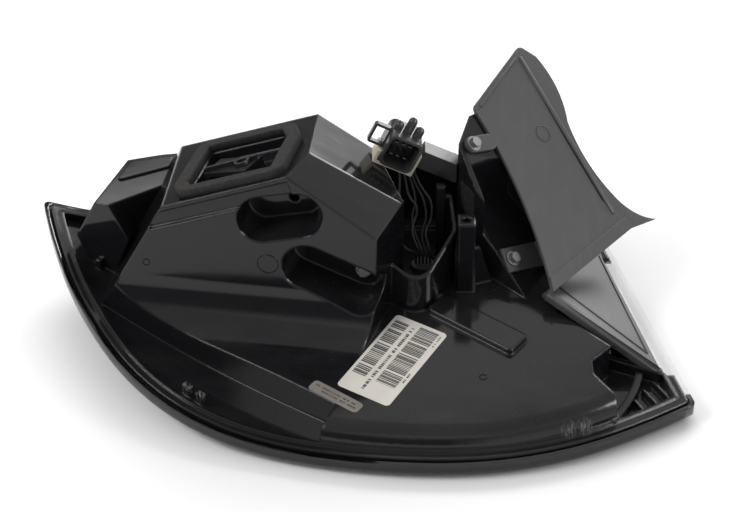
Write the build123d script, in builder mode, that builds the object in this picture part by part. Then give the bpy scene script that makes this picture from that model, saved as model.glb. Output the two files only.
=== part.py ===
from build123d import *
import os
from math import cos, radians, sin, sqrt, tan

os.makedirs("parts", exist_ok=True)

# Rim outline in plan: the points where its tangent arcs and its corners meet
NEAR_MID = (46, -170)
NEAR_LEFT = (-91, -145)
LEFT_LOW = (-178, -77)
LEFT_HIGH = (-216, -4)
TIP = (-235, 58)
FAR_MID = (-30, 112)
FAR_RIGHT = (172, 106)
CORNER = (219, -108)
NEAR_RIGHT = (164, -141)
CORNER_ROUND = 7
LEAST_ROUND = 2

# Parting height: level over the flat stretch, then swept up to the tip
RIM_Z = 13
RIM_FLAT_END = -40
RIM_SWEEP = 375

# Lens: its wall, its rounded front edge and the ledge that carries the housing
LENS_WALL = 3
LENS_EDGE_ROUND = 9
LENS_LEDGE = 8
FLANK_HEIGHT = 34

# Rim section, measured inward from the outline and up from the parting surface
GROOVE_START = 3
FLANGE_START = 4.5
LIP_START = 10.5
FLANGE_END = 13
LIP_STEP = 3
FLANGE_TOP = 1.5
LIP_TOP = 3
FLOOR_DROP = 3.5
WALL = 2.5
BEAD_HEIGHT = 1.5
BEAD_GAP = 0.2

# Tray: the gloss slope in front of the box, and the valley beside it
TRAY_NEAR = -129
TRAY_RISE = 16
TRAY_TILT = 6.2
NOSE_ROUND = 13
VALLEY_TOP = (-182, -30)
VALLEY_MID = (-95, -79)
VALLEY_END = (-22, -127)
TRAY_START = (-40, -165)
TRAY_RIGHT = [(168, -165), (163, -118), (157, -109), (150, -98), (150, -86), (164, -72)]
TRAY_FAR = [(128, -36), (128, 62), (-160, 62)]

# Box: frame at the plate's near left corner, heights measured from the tray there
BOX_CORNER = (-140, -34)
BOX_YAW = -8
PLATE_HEIGHT = 84
PLATE_RISE = 20.4
PLATE_FALL = 8
PLATE_LENGTH = 94
PLATE_DEPTH = 105
PLATE_CUT_X = 10
PLATE_CUT_Y = 36
RIDGE_SKEW = 5
BOX_LENGTH = 155
BOX_LEAN = 28
BOX_DRAFT = 3
COVE_ROUND = 34
COVE_FOOT = 60
FACET_FALL = 31.8
CREASE_BACK = 49
STEP_LIP = 4
STEP_HEIGHT = 11
STEP_DEPTH = 5
BOX_OVERRUN = 80
END_FRONT = (7, -50)
END_TIP = (24, -7)
END_BACK = (2, 60)

# Screw pockets in the box front: middle, length between the round ends, turn
POCKETS = [((80, 83), 26, 14), ((117, 39), 40, -22)]
POCKET_RADIUS = 16.5
POCKET_DEPTH = 24
POCKET_MOUTH = 20
POCKET_DRAFT = 8

# Seal ring and the recess that it surrounds, on the plate
SEAL_CORNERS = [(13, 3), (88, 3), (88, 64), (78, 88), (6, 88), (6, 18)]
SEAL_ROUND = 11
SEAL_WIDTH = 10
SEAL_HEIGHT = 6
RECESS_DEPTH = 8
RECESS_GAP = 1
LATCH_LENGTH = 36
LATCH_WIDTH = 22
LATCH_WALL = 3
LATCH_PLACE = (40, 46)
LATCH_TURN = -20
LATCH_BAR = (38, 3)
LATCH_BAR_TURN = 24

# Small box at the left: its face, its depth and the bridge to the seal box
SIDE_TOP = 81
SIDE_CORNER = (-191.4, 14.3)
SIDE_YAW = -18
SIDE_FACE = [(0, 0), (10.7, 0), (24.5, -26), (22.6, -31.5), (9.9, -61), (-8.7, -47), (-15.7, -30)]
SIDE_DEPTH = 62
BRIDGE = [(-181, 12), (-139, 42), (-134, 80), (-172, 74)]
BRIDGE_DROP = 70

# Wire well, tower and post beside the box
WELL = [(8, -24), (36, -45), (61, -3), (58, 24), (12, 24)]
WELL_ROUND = 14
WELL_BACK = (35, 35)
WELL_BACK_SIZE = (36, 34)
WELL_FLOOR = 33
WELL_TOP = 51
WELL_TILT = 24.7
TOWER_PLACE = (67, -11)
TOWER_SIZE = (12, 14)
TOWER_TOP = 84
POST_PLACE = (50, 20)
POST_SIZE = (6, 5)
POST_TOP = 92
TOWER_ROUND = 1
GUSSET = [(0, 26), (15, 26), (4, 60), (0, 60)]
GUSSET_WALL = 3
WEB = [(-4, 68), (82, 68), (82, 70.5), (-4, 70.5)]
WEB_TOP = 84

# Gutter trim: its plane, outline in that plane, and the wedge that carries it
TRIM_CORNER = (126.4, -36)
TRIM_LEVEL = 41
TRIM_NORMAL = (0.545, -0.372, 0.752)
TRIM_RIGHT = (0.753, 0.614, -0.242)
TRIM_WALL = 2.5
TRIM_LIP = 9
TRIM_GAP = 0.3
TRIM_LENGTH = 143
TRIM_BOW = 9
TRIM_TOP = (70, 186)
TRIM_ROUND = 6
TRIM_EDGE = [(82, 176), (89, 150), (85, 122), (86.5, 92), (98.5, 59.5), (111, 44.5), (130, 36)]
TRIM_FIN = (101, 33)
TRIM_FOLD = [(63, 190), (72.5, 118), (83.5, 58)]
FOLD_STEP = 1
ROLL_WIDTH = 9
ROLL_RISE = 1.2
TAB_LENGTH = 28
TAB_WIDTH = 12
TAB_SCREW = (-14.5, 116)
WEDGE = [(62, 32), (74, 6), (88, -4), (124, -40), (156, 60), (132, 95), (104, 95), (70, 58)]

# Shelf sunk into the wedge, the trim's foot on it, and the trim's bar and panel on the flank
SHELF = [(68, 28), (78, 7), (84, -12), (112, -60), (140, -60), (138, 7), (128, 25), (99, 46)]
SHELF_DEPTH = 24
FOOT_PLACE = (9, 35)
FOOT_SIZE = (36, 18)
FOOT_SCREW = (-2, 35)
BAR_START = (123, -33, 36.5)
BAR_END = (197, -76.5, 2)
BAR_SIZE = (7, 6)
BAR_ROUND = 1.5
PANEL_BACK = [(170, 58), (157, 58)]

# Fasteners
SCREW_HEAD = 8
SCREW_HEAD_HEIGHT = 3.5
SCREW_SHANK = 4
SCREW_LENGTH = 8
WASHER = 11
WASHER_HEIGHT = 1.2
SCREW_CLEARANCE = 0.2
POCKET_SCREW = (134, 31)
POCKET_HOLE = (86, 85)
POCKET_BORE = 6.5
TOWER_BORE = 6
TOWER_BORE_DEPTH = 14

# Right flank: zone without housing rim, the lens pane over it and the rib beside it
FLANK = [(203, -78), (124, -40), (156, 60), (240, 60), (240, -78)]
FLANK_PANE = [(129, -38), (206, -75), (177, 59.5)]
STRIP = [(121, -44), (124, -40), (200, -76.5), (198, -81)]
STRIP_TOP = 5

# Inner lip, ribs and clip tabs of the rim
CORNER_LIP = [(160, -129), (175, -104), (184, -78)]
CORNER_LIP_WIDTH = 5
CORNER_LIP_TOP = 4
CORNER_RIBS = [((178, -103), (184, -117)), ((185, -92), (194, -111)), ((193, -84), (202, -103))]
RIB_WIDTH = 1.8
RIB_TOP = 1
RIM_TABS = [(-190, 12, 62), (-121, -103, -42), (-112, -110, -40), (130, -139, 12), (141, -136, 14)]
RIM_TAB_SIZE = (7, 4)
RIM_TAB_TOP = 4.5

# Plug: its frame, body, latch loop, posts and lock
CONNECTOR_PLACE = (22, 38)
CONNECTOR_LEVEL = 113
CONNECTOR_ROLL = 25
CONNECTOR_SIZE = 25
CONNECTOR_DEPTH = 24
CONNECTOR_WALL = 2
CONNECTOR_ROOM = 18
CONNECTOR_ROUND = 5
PIN_ROWS = 2
PINS_PER_ROW = 3
PIN_PITCH = 5
PIN_SIZE = (2.2, 0.8)
PIN_LENGTH = 12
POSTS = [(-8, 6), (-0.5, 12), (7, 7)]
POST_WIDTH = 6.5
LOOP_SIZE = (11, 16)
LOOP_WALL = 2
LOOP_DEPTH = 4
LOCK_WALL = 2.5
LOCK_DEPTH = 18
LOCK_RISE = 18
LOCK_STOP = 8
MOUNT_HEIGHT = 14
MOUNT_DEPTH = 15
MOUNT_BACK = -7
CONNECTOR_REACH = 60

# Leads: their width, the points where they leave the plug, and their routes above the rim
LEAD = 1.8
LEAD_SIDES = 6
LEAD_BEND = 0.45
LEAD_PITCH = 2.5
LEAD_FIRST = 8
LEAD_LEVEL = -7
LEAD_RUN = 7
LEAD_ROUTES = [
    [(27, 64, 95), (32, 64, 76), (37, 52, 70), (45, 38, 66), (44, 24, 60), (39, 14, 56), (43, 4, 47)],
    [(24.5, 64, 96), (29.5, 65, 78), (33, 56, 70), (39, 42, 66), (41, 28, 61), (36.5, 15, 52), (40.5, 4, 45)],
    [(22, 64, 97), (26, 65, 80), (30, 58, 72), (34, 44, 64), (30, 29, 58), (33, 14, 53), (38, 4, 46)],
    [(19.5, 64, 98), (23, 65, 82), (26, 58, 74), (28, 44, 67), (35.5, 30, 66), (29, 15, 57), (35.5, 4, 47)],
    [(17, 64, 99), (19.5, 65, 84), (22, 59, 77), (22, 46, 72), (20, 30, 67), (21, 14, 60), (24, 4, 50), (33, 4, 46)],
]
GROMMET_PLACE = (38, 4)
GROMMET_NECK = 14
GROMMET_FLANGE = 19
GROMMET_HEIGHT = 4
GROMMET_TAPER = 20
GROMMET_GAP = 0.2

# Felt tape on the wedge's wall
FELT_LENGTH = 22
FELT_HEIGHT = 26
FELT_WALL = 1
FELT_ALONG = 16
FELT_LEVEL = 80

# Stickers and the raised rail on the tray
LABEL_WALL = 0.2
LABEL_ROUND = 3
BARCODE_SIZE = (80, 40)
BARCODE_PLACE = (16, 44)
BARCODE_TURN = 59
STRIP_LABEL_SIZE = (40, 10)
STRIP_LABEL_PLACE = (-22, 9)
STRIP_LABEL_TURN = -36
RAIL_SIZE = (70, 20)
RAIL_PLACE = (74, 77)
RAIL_TURN = -37.5
RAIL_HEIGHT = 4
RAIL_ROUND = 3

# Lamp units behind the lens: middle and size of each window in the bezel
BEZEL_WALL = 1.5
BEZEL_START = 9.5
UNIT_LIP = 3
UNIT_WALL = 2
STOP_PLACE = (20, -85)
STOP_SIZE = (90, 44)
TURN_PLACE = (112, -92)
TURN_SIZE = (58, 36)
BOWL_DEPTH = 14
BOWL_TAPER = 12
BOARD_WALL = 1.6
LED_SIZE = 3.5
LED_HEIGHT = 1.2
LED_PITCH = 18
SINK_BASE = 1.5
SINK_FIN = 2.5
SINK_PITCH = 6
GUIDE_PLACE = (50, -42)
GUIDE_SIZE = (130, 6)
GUIDE_DEPTH = 9
TAIL_BOARD_SIZE = (14, 12)
REFLEX_PLACE = (40, -142)
REFLEX_SIZE = (70, 12)
REFLEX_DEPTH = 5
WINDOW_GAP = 0.2
WINDOWS = [
    (STOP_PLACE, STOP_SIZE),
    (TURN_PLACE, TURN_SIZE),
    (GUIDE_PLACE, GUIDE_SIZE),
    (REFLEX_PLACE, REFLEX_SIZE),
]

REACH = 400
TINY = 0.1


def rim_height(x):
    run = min(0, x - RIM_FLAT_END)
    return RIM_Z + RIM_SWEEP - sqrt(RIM_SWEEP**2 - run**2)


def below_rim(point):
    return rim_height(point.X) - point.Z


def plan_outline(inset, rounded=True):
    """Rim outline in plan, moved inward."""
    with BuildSketch() as plan:
        with BuildLine():
            near_left = TangentArc(NEAR_MID, NEAR_LEFT, tangent=(-1, 0))
            left_low = TangentArc(NEAR_LEFT, LEFT_LOW, tangent=near_left % 1)
            left_high = TangentArc(LEFT_LOW, LEFT_HIGH, tangent=left_low % 1)
            TangentArc(LEFT_HIGH, TIP, tangent=left_high % 1)
            ThreePointArc(TIP, FAR_MID, FAR_RIGHT)
            Line(FAR_RIGHT, CORNER)
            near_right = TangentArc(NEAR_MID, NEAR_RIGHT, tangent=(1, 0))
            TangentArc(NEAR_RIGHT, CORNER, tangent=near_right % 1)
        make_face()
        if inset:
            offset(amount=-inset, kind=Kind.INTERSECTION)
        if rounded:
            corners = [plan.vertices().sort_by_distance(place)[0] for place in (TIP, FAR_RIGHT, CORNER)]
            fillet(corners, radius=max(CORNER_ROUND - inset, LEAST_ROUND))
    return plan.sketch


def parting_slab(low, high):
    """Layer between two heights over the parting surface."""
    left = TIP[0] - CORNER_ROUND
    right = CORNER[0] + CORNER_ROUND
    with BuildPart() as slab:
        with BuildSketch(Plane.XZ):
            with BuildLine():
                Line((right, RIM_Z + low), (RIM_FLAT_END, RIM_Z + low))
                TangentArc((RIM_FLAT_END, RIM_Z + low), (left, rim_height(left) + low), tangent=(-1, 0))
                Line((left, rim_height(left) + low), (left, rim_height(left) + high))
                TangentArc((RIM_FLAT_END, RIM_Z + high), (left, rim_height(left) + high), tangent=(-1, 0))
                Line((RIM_FLAT_END, RIM_Z + high), (right, RIM_Z + high))
                Line((right, RIM_Z + high), (right, RIM_Z + low))
            make_face()
        extrude(amount=REACH, both=True)
    return slab.part


def rim_band(start, end, low, high):
    """Band along the rim between two insets and two heights, or the whole plate if end is 0."""
    with BuildPart() as band:
        with BuildSketch():
            add(plan_outline(start))
            if end:
                add(plan_outline(end), mode=Mode.SUBTRACT)
        extrude(amount=REACH)
        add(parting_slab(low, high), mode=Mode.INTERSECT)
    return band.part


def lens_form(inset):
    """Curved plate that the lens is carved from, with its front edge rounded."""
    with BuildPart() as form:
        with BuildSketch():
            add(plan_outline(inset, rounded=False))
        extrude(amount=REACH)
        add(parting_slab(inset - RIM_Z, 0), mode=Mode.INTERSECT)
        front = [edge for edge in form.edges() if below_rim(edge @ 0.5) > RIM_Z - inset - TINY]
        fillet(front, radius=LENS_EDGE_ROUND - inset)
        with BuildSketch():
            add(plan_outline(inset))
        extrude(amount=REACH, mode=Mode.INTERSECT)
    return form.part


def facet_plane(frame, first, second, third):
    """Plane through three points of a frame, facing up."""
    a, b, c = (frame.from_local_coords(Vector(*place)) for place in (first, second, third))
    normal = (b - a).cross(c - a)
    if normal.Z < 0:
        normal = -normal
    return Plane(origin=a, x_dir=b - a, z_dir=normal)


def upright_plane(start, end):
    """Upright plane over a line in plan, facing to the right of its direction."""
    run = Vector(end[0] - start[0], end[1] - start[1], 0)
    return Plane(origin=(start[0], start[1], 0), x_dir=run, z_dir=(run.Y, -run.X, 0))


def placed(plane, place, turn=0):
    """A plane moved to a place in its own coordinates and turned about its own normal."""
    run = plane.x_dir.rotate(Axis((0, 0, 0), plane.z_dir), turn)
    return Plane(origin=plane.from_local_coords(place), x_dir=run, z_dir=plane.z_dir)


def tray_height(y):
    return RIM_Z + TRAY_RISE + (y - TRAY_NEAR) * tray_slope


# Frames that the features are placed on
tray_slope = tan(radians(TRAY_TILT))
tray_plane = Plane(
    origin=(0, TRAY_NEAR, RIM_Z + TRAY_RISE),
    x_dir=(1, 0, 0),
    z_dir=(0, -sin(radians(TRAY_TILT)), cos(radians(TRAY_TILT))),
)
box_side = Vector(-sin(radians(BOX_YAW)), cos(radians(BOX_YAW)), 0)
box_run = Vector(cos(radians(BOX_YAW)), sin(radians(BOX_YAW)), sin(radians(BOX_YAW)) * tray_slope)
box_base = Vector(*BOX_CORNER, tray_height(BOX_CORNER[1]))
box_frame = Plane(origin=box_base, x_dir=box_run, z_dir=box_run.cross(box_side))
box_section = Plane(origin=box_base, x_dir=box_frame.y_dir, z_dir=box_frame.x_dir)
front_plane = Plane(origin=box_base, x_dir=box_frame.x_dir, z_dir=-box_frame.y_dir)
side_plane = Plane(
    origin=(*SIDE_CORNER, RIM_Z + SIDE_TOP),
    x_dir=(cos(radians(SIDE_YAW)), sin(radians(SIDE_YAW)), 0),
    z_dir=(sin(radians(SIDE_YAW)), -cos(radians(SIDE_YAW)), 0),
)
trim_plane = Plane(origin=(*TRIM_CORNER, RIM_Z + TRIM_LEVEL), x_dir=TRIM_RIGHT, z_dir=TRIM_NORMAL)
shelf_plane = trim_plane.offset(-SHELF_DEPTH)
well_plane = Plane(
    origin=(*WELL[1], RIM_Z + WELL_TOP),
    x_dir=(1, 0, 0),
    z_dir=(0, -sin(radians(WELL_TILT)), cos(radians(WELL_TILT))),
)


def plate_level(along, back):
    return PLATE_HEIGHT + along * tan(radians(PLATE_RISE)) - back * tan(radians(PLATE_FALL))


plate_plane = facet_plane(
    box_frame,
    (0, 0, plate_level(0, 0)),
    (PLATE_LENGTH, 0, plate_level(PLATE_LENGTH, 0)),
    (0, PLATE_DEPTH, plate_level(0, PLATE_DEPTH)),
)
ridge_near = (PLATE_LENGTH, PLATE_CUT_Y, plate_level(PLATE_LENGTH, PLATE_CUT_Y))
ridge_back = PLATE_LENGTH - RIDGE_SKEW
ridge_far = (ridge_back, PLATE_DEPTH, plate_level(ridge_back, PLATE_DEPTH))
ridge_drop = (BOX_LENGTH - PLATE_LENGTH) * tan(radians(FACET_FALL))
ridge_foot = (BOX_LENGTH, PLATE_CUT_Y, ridge_near[2] - ridge_drop)
plate_cut = (PLATE_LENGTH - PLATE_CUT_X, 0, plate_level(PLATE_LENGTH - PLATE_CUT_X, 0))
crease_drop = (CREASE_BACK - PLATE_CUT_Y) * tan(radians(PLATE_FALL))
crease_foot = (BOX_LENGTH, CREASE_BACK, ridge_foot[2] - crease_drop)
side_facet = facet_plane(box_frame, ridge_near, ridge_far, ridge_foot)
near_facet = facet_plane(box_frame, plate_cut, ridge_near, crease_foot)
lean_plane = Plane(
    origin=plate_plane.origin,
    x_dir=box_frame.y_dir,
    z_dir=box_frame.x_dir * -cos(radians(BOX_LEAN)) + box_frame.z_dir * sin(radians(BOX_LEAN)),
)


def box_form(inset):
    """The seal box with its sloping plate, facets and coved foot."""
    lean = tan(radians(BOX_DRAFT))
    slope = tray_slope * cos(radians(BOX_YAW))
    top = PLATE_HEIGHT + PLATE_LENGTH
    foot = (inset - (inset + PLATE_HEIGHT) * lean) / (1 - slope * lean)
    with BuildPart() as form:
        with BuildSketch(box_section.offset(-BOX_OVERRUN)) as profile:
            with BuildLine():
                Polyline(
                    (PLATE_DEPTH - inset, -BOX_OVERRUN),
                    (PLATE_DEPTH - inset, top),
                    (inset + (top - PLATE_HEIGHT) * lean, top),
                    (foot, slope * foot - inset),
                    (-COVE_FOOT, -slope * COVE_FOOT - inset),
                    (-COVE_FOOT, -BOX_OVERRUN),
                    close=True,
                )
            make_face()
            cove = profile.vertices().sort_by_distance((foot, slope * foot - inset))[0]
            fillet(cove, radius=COVE_ROUND + inset)
        extrude(amount=2 * BOX_OVERRUN + BOX_LENGTH)
        for plane in (plate_plane, side_facet, near_facet, lean_plane):
            split(bisect_by=plane.offset(-inset), keep=Keep.BOTTOM)
        for plane in (upright_plane(END_FRONT, END_TIP), upright_plane(END_TIP, END_BACK)):
            split(bisect_by=plane.offset(-inset), keep=Keep.BOTTOM)
    return form.part


def tray_form(inset):
    """The gloss tray with its rounded nose, beside the valley."""
    with BuildPart() as form:
        with BuildSketch():
            with BuildLine():
                ThreePointArc(VALLEY_TOP, VALLEY_MID, VALLEY_END)
                Polyline(VALLEY_END, TRAY_START, *TRAY_RIGHT, *TRAY_FAR, VALLEY_TOP)
            make_face()
            if inset:
                offset(amount=-inset, kind=Kind.ARC)
            add(plan_outline(FLANGE_END + inset, rounded=False), mode=Mode.INTERSECT)
        extrude(amount=REACH)
        split(bisect_by=tray_plane.offset(-inset), keep=Keep.BOTTOM)
        near_edge = form.edges().sort_by_distance((*NEAR_MID, RIM_Z + TRAY_RISE))[0]
        fillet(near_edge, radius=NOSE_ROUND - inset)
    return form.part


def valley_form(grow):
    """Space left of the tray's crisp edge."""
    near_left = (TIP[0] - REACH, TRAY_START[1])
    far_left = (TIP[0] - REACH, VALLEY_TOP[1])
    with BuildPart() as form:
        with BuildSketch():
            with BuildLine():
                ThreePointArc(VALLEY_TOP, VALLEY_MID, VALLEY_END)
                Polyline(VALLEY_END, TRAY_START, near_left, far_left, VALLEY_TOP)
            make_face()
            if grow:
                offset(amount=grow, kind=Kind.ARC)
        extrude(amount=REACH)
    return form.part


def side_box_form(inset):
    """The small box at the left, swept back from its angular face, and its bridge to the seal box."""
    with BuildPart() as form:
        with BuildSketch(side_plane.offset(-inset)):
            Polygon(*SIDE_FACE, align=None)
            if inset:
                offset(amount=-inset, kind=Kind.INTERSECTION)
        extrude(amount=2 * inset - SIDE_DEPTH)
        with BuildSketch(Plane.XY.offset(side_plane.origin.Z - inset)):
            Polygon(*BRIDGE, align=None)
            if inset:
                offset(amount=-inset, kind=Kind.INTERSECTION)
        extrude(amount=-BRIDGE_DROP)
    return form.part


def wedge_form(inset):
    """The carrier under the gutter trim."""
    with BuildPart() as form:
        with BuildSketch():
            Polygon(*WEDGE, align=None)
            if inset:
                offset(amount=-inset, kind=Kind.INTERSECTION)
        extrude(amount=REACH)
        split(bisect_by=trim_plane.offset(-TRIM_WALL - inset), keep=Keep.BOTTOM)
        add(trim_lip_room(inset), mode=Mode.SUBTRACT)
        add(shelf_room(inset), mode=Mode.SUBTRACT)
    return form.part


def shelf_room(grow):
    """Space over the shelf that is sunk into the wedge."""
    with BuildPart() as room:
        with BuildSketch():
            Polygon(*SHELF, align=None)
            if grow:
                offset(amount=grow, kind=Kind.INTERSECTION)
        extrude(amount=REACH)
        split(bisect_by=shelf_plane.offset(-grow), keep=Keep.TOP)
    return room.part


def well_outline(inset):
    """Outline of the cup for the leads, moved inward."""
    with BuildSketch() as outline:
        Polygon(*WELL, align=None)
        corners = [outline.vertices().sort_by_distance(place)[0] for place in WELL[1:3]]
        fillet(corners, radius=WELL_ROUND)
        if inset:
            offset(amount=-inset, kind=Kind.INTERSECTION)
    return outline.sketch


def well_form(grow):
    """Room for the leads in the cup beside the seal box."""
    with BuildPart() as form:
        with BuildSketch(Plane.XY.offset(RIM_Z + WELL_FLOOR - grow)):
            add(well_outline(WALL - grow))
            with Locations(WELL_BACK):
                Rectangle(*(size + 2 * grow for size in WELL_BACK_SIZE))
        extrude(amount=REACH)
    return form.part


def pocket_form(grow):
    """The two screw pockets in the box front."""
    flare = POCKET_MOUTH * tan(radians(POCKET_DRAFT))
    with BuildPart() as form:
        for middle, length, turn in POCKETS:
            with BuildSketch(placed(front_plane, (*middle, POCKET_MOUTH), turn)):
                SlotCenterToCenter(length, 2 * (POCKET_RADIUS + flare + grow))
            extrude(amount=-POCKET_MOUTH - POCKET_DEPTH - grow, taper=POCKET_DRAFT)
    return form.part


def seal_outline(inset):
    """Outline of the seal ring on the plate, moved inward."""
    with BuildSketch() as outline:
        Polygon(*SEAL_CORNERS, align=None)
        fillet(outline.vertices(), radius=SEAL_ROUND)
        if inset:
            offset(amount=-inset, kind=Kind.ARC)
    return outline.sketch


def recess_form(grow):
    """The window inside the seal ring."""
    with BuildPart() as form:
        with BuildSketch(plate_plane.offset(SEAL_HEIGHT)):
            add(seal_outline(SEAL_WIDTH + RECESS_GAP - grow))
        extrude(amount=-SEAL_HEIGHT - RECESS_DEPTH - grow)
    return form.part


def raised_form(inset):
    """All the raised forms of the housing together, with the wire well cut in before the box is added."""
    with BuildPart() as form:
        add(tray_form(inset))
        add(wedge_form(inset))
        if not inset:
            add(well_block())
        add(well_form(inset), mode=Mode.SUBTRACT)
        add(valley_box_form(inset))
        add(side_box_form(inset))
        add(pocket_form(inset), mode=Mode.SUBTRACT)
        add(recess_form(inset), mode=Mode.SUBTRACT)
        with BuildSketch():
            add(plan_outline(LIP_START + inset))
        extrude(amount=REACH, mode=Mode.INTERSECT)
    return form.part


def valley_box_form(inset):
    """The seal box with the groove below its plate, and without its foot in the valley."""
    with BuildPart() as form:
        add(box_form(inset))
        add(valley_form(inset), mode=Mode.SUBTRACT)
        add(step_groove(inset), mode=Mode.SUBTRACT)
    return form.part


def well_block():
    """Wall of the cup for the leads, before its room is cut."""
    with BuildPart() as block:
        with BuildSketch():
            add(well_outline(0))
        extrude(amount=REACH)
        split(bisect_by=well_plane, keep=Keep.BOTTOM)
    return block.part


def step_groove(grow):
    """Groove below the plate along the box front."""
    with BuildPart() as groove:
        with BuildSketch(plate_plane.offset(grow - STEP_LIP)):
            with Locations((PLATE_LENGTH / 2 - PLATE_CUT_X, 0)):
                Rectangle(PLATE_LENGTH + PLATE_CUT_X + 2 * grow, 2 * (STEP_DEPTH + grow))
        extrude(amount=-STEP_HEIGHT - 2 * grow)
    return groove.part


def flank_form():
    """Zone at the right flank where the lens alone makes the rim."""
    with BuildPart() as form:
        with BuildSketch():
            Polygon(*FLANK, align=None)
        extrude(amount=REACH)
    return form.part


def lens_cavity():
    """Room inside the lens, within the ledge that carries the housing."""
    return rim_band(LENS_LEDGE, 0, LENS_WALL - RIM_Z, 1)


def lens_rebate():
    """Step inside the lens wall that takes the housing flange."""
    with BuildPart() as rebate:
        add(rim_band(GROOVE_START, 0, -LIP_STEP, 1))
        add(flank_form(), mode=Mode.SUBTRACT)
    return rebate.part


def flank_slope():
    """Outer face of the lens's flank pane."""
    near, low, far = FLANK_PANE
    return facet_plane(Plane.XY, (*near, RIM_Z + FLANK_HEIGHT), (*low, RIM_Z), (*far, RIM_Z))


def flank_pane():
    """Clear pane that climbs from the lens rim to the trim's near corner."""
    with BuildPart() as pane:
        with BuildSketch():
            Polygon(*FLANK_PANE, align=None)
        extrude(amount=REACH)
        split(bisect_by=flank_slope(), keep=Keep.BOTTOM)
        split(bisect_by=flank_slope().offset(-LENS_WALL), keep=Keep.TOP)
        add(parting_slab(-LIP_STEP, REACH), mode=Mode.INTERSECT)
    return pane.part


def trim_outline():
    """Outline of the gutter trim in its plane."""
    with BuildSketch() as outline:
        with BuildLine():
            ThreePointArc((0, 0), (TRIM_BOW, TRIM_LENGTH / 2), (0, TRIM_LENGTH))
            Polyline((0, TRIM_LENGTH), TRIM_TOP, TRIM_EDGE[0])
            ThreePointArc(*TRIM_EDGE[:3])
            ThreePointArc(*TRIM_EDGE[2:5])
            ThreePointArc(*TRIM_EDGE[4:])
            Polyline(TRIM_EDGE[-1], TRIM_FIN, (0, 0))
        make_face()
        corners = [outline.vertices().sort_by_distance(place)[0] for place in ((0, TRIM_LENGTH), TRIM_TOP)]
        fillet(corners, radius=TRIM_ROUND)
    return outline.sketch


def trim_panel():
    """Plate of the trim over the lens's flank pane."""
    with BuildPart() as panel:
        with BuildSketch():
            Polygon(BAR_START[:2], BAR_END[:2], *PANEL_BACK, align=None)
        extrude(amount=REACH)
        split(bisect_by=flank_slope().offset(TRIM_GAP), keep=Keep.TOP)
        split(bisect_by=flank_slope().offset(TRIM_GAP + TRIM_WALL), keep=Keep.BOTTOM)
    return panel.part


def trim_bar():
    """Rounded bar of the trim along the near edge of the lens's flank pane, with the panel behind it."""
    start, end = (Vector(x, y, RIM_Z + height) for x, y, height in (BAR_START, BAR_END))
    run = end - start
    with BuildPart() as bar:
        with BuildSketch(Plane(origin=start, x_dir=run.cross(Vector(0, 0, 1)), z_dir=run)):
            RectangleRounded(*BAR_SIZE, radius=BAR_ROUND)
        extrude(amount=run.length)
        add(trim_panel())
        add(rear_housing.part, mode=Mode.SUBTRACT)
        add(outer_lens.part, mode=Mode.SUBTRACT)
    return bar.part


def trim_lip_room(grow):
    """Space in the wedge for the trim's near lip and all that is outside it."""
    run = Vector(*TRIM_FIN).normalized()
    inward = Vector(-run.Y, run.X)
    near = inward * (TRIM_WALL + TRIM_GAP + grow) - run * TRIM_LENGTH
    far = inward * (TRIM_WALL + TRIM_GAP + grow) + run * TRIM_LENGTH
    with BuildPart() as room:
        with BuildSketch(trim_plane):
            Polygon(near, near - inward * TRIM_LENGTH, far - inward * TRIM_LENGTH, far, align=None)
        extrude(amount=-TRIM_WALL - TRIM_LIP - TRIM_GAP - grow)
    return room.part


def screw(plane):
    """Washer, hexagon head and shank on a seat."""
    with BuildPart() as fastener:
        with BuildSketch(plane):
            Circle(WASHER / 2)
        extrude(amount=WASHER_HEIGHT)
        with BuildSketch(plane.offset(WASHER_HEIGHT)):
            RegularPolygon(SCREW_HEAD / 2, 6)
        extrude(amount=SCREW_HEAD_HEIGHT)
        with BuildSketch(plane):
            Circle(SCREW_SHANK / 2)
        extrude(amount=-SCREW_LENGTH)
    return fastener.part


def screw_hole(plane):
    """Clearance hole for a screw's shank."""
    with BuildPart() as hole:
        with BuildSketch(plane):
            Circle(SCREW_SHANK / 2 + SCREW_CLEARANCE)
        extrude(amount=SCREW_LENGTH, both=True)
    return hole.part


def lamp_bowl(place, size):
    """Open reflector bowl with a lip that lies on the bezel round its window."""
    with BuildPart() as bowl:
        with BuildSketch(bezel_plane):
            with Locations(place):
                Rectangle(*(side + 2 * UNIT_LIP for side in size))
        extrude(amount=UNIT_WALL)
        with BuildSketch(bezel_plane):
            with Locations(place):
                Rectangle(*(side + 2 * UNIT_WALL for side in size))
        extrude(amount=BOWL_DEPTH, taper=BOWL_TAPER)
        with BuildSketch(bezel_plane):
            with Locations(place):
                Rectangle(*size)
        extrude(amount=BOWL_DEPTH, taper=BOWL_TAPER, mode=Mode.SUBTRACT)
    return bowl.part


def bowl_top(size):
    """Outer size of a bowl's open top."""
    return [side + 2 * UNIT_WALL - 2 * BOWL_DEPTH * tan(radians(BOWL_TAPER)) for side in size]


def lamp_board(place, size):
    """Board that closes a bowl's top."""
    with BuildPart() as board:
        with BuildSketch(board_plane):
            with Locations(place):
                Rectangle(*bowl_top(size))
        extrude(amount=BOARD_WALL)
    return board.part


def led_group(place, size):
    """Light sources on the underside of a board, in as many rows as fit."""
    columns, rows = (int((side - LED_PITCH) // LED_PITCH) + 1 for side in size)
    with BuildPart() as group:
        with BuildSketch(board_plane):
            with Locations(place):
                with GridLocations(LED_PITCH, LED_PITCH, columns, rows):
                    Rectangle(LED_SIZE, LED_SIZE)
        extrude(amount=-LED_HEIGHT)
    return group.part


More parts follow.
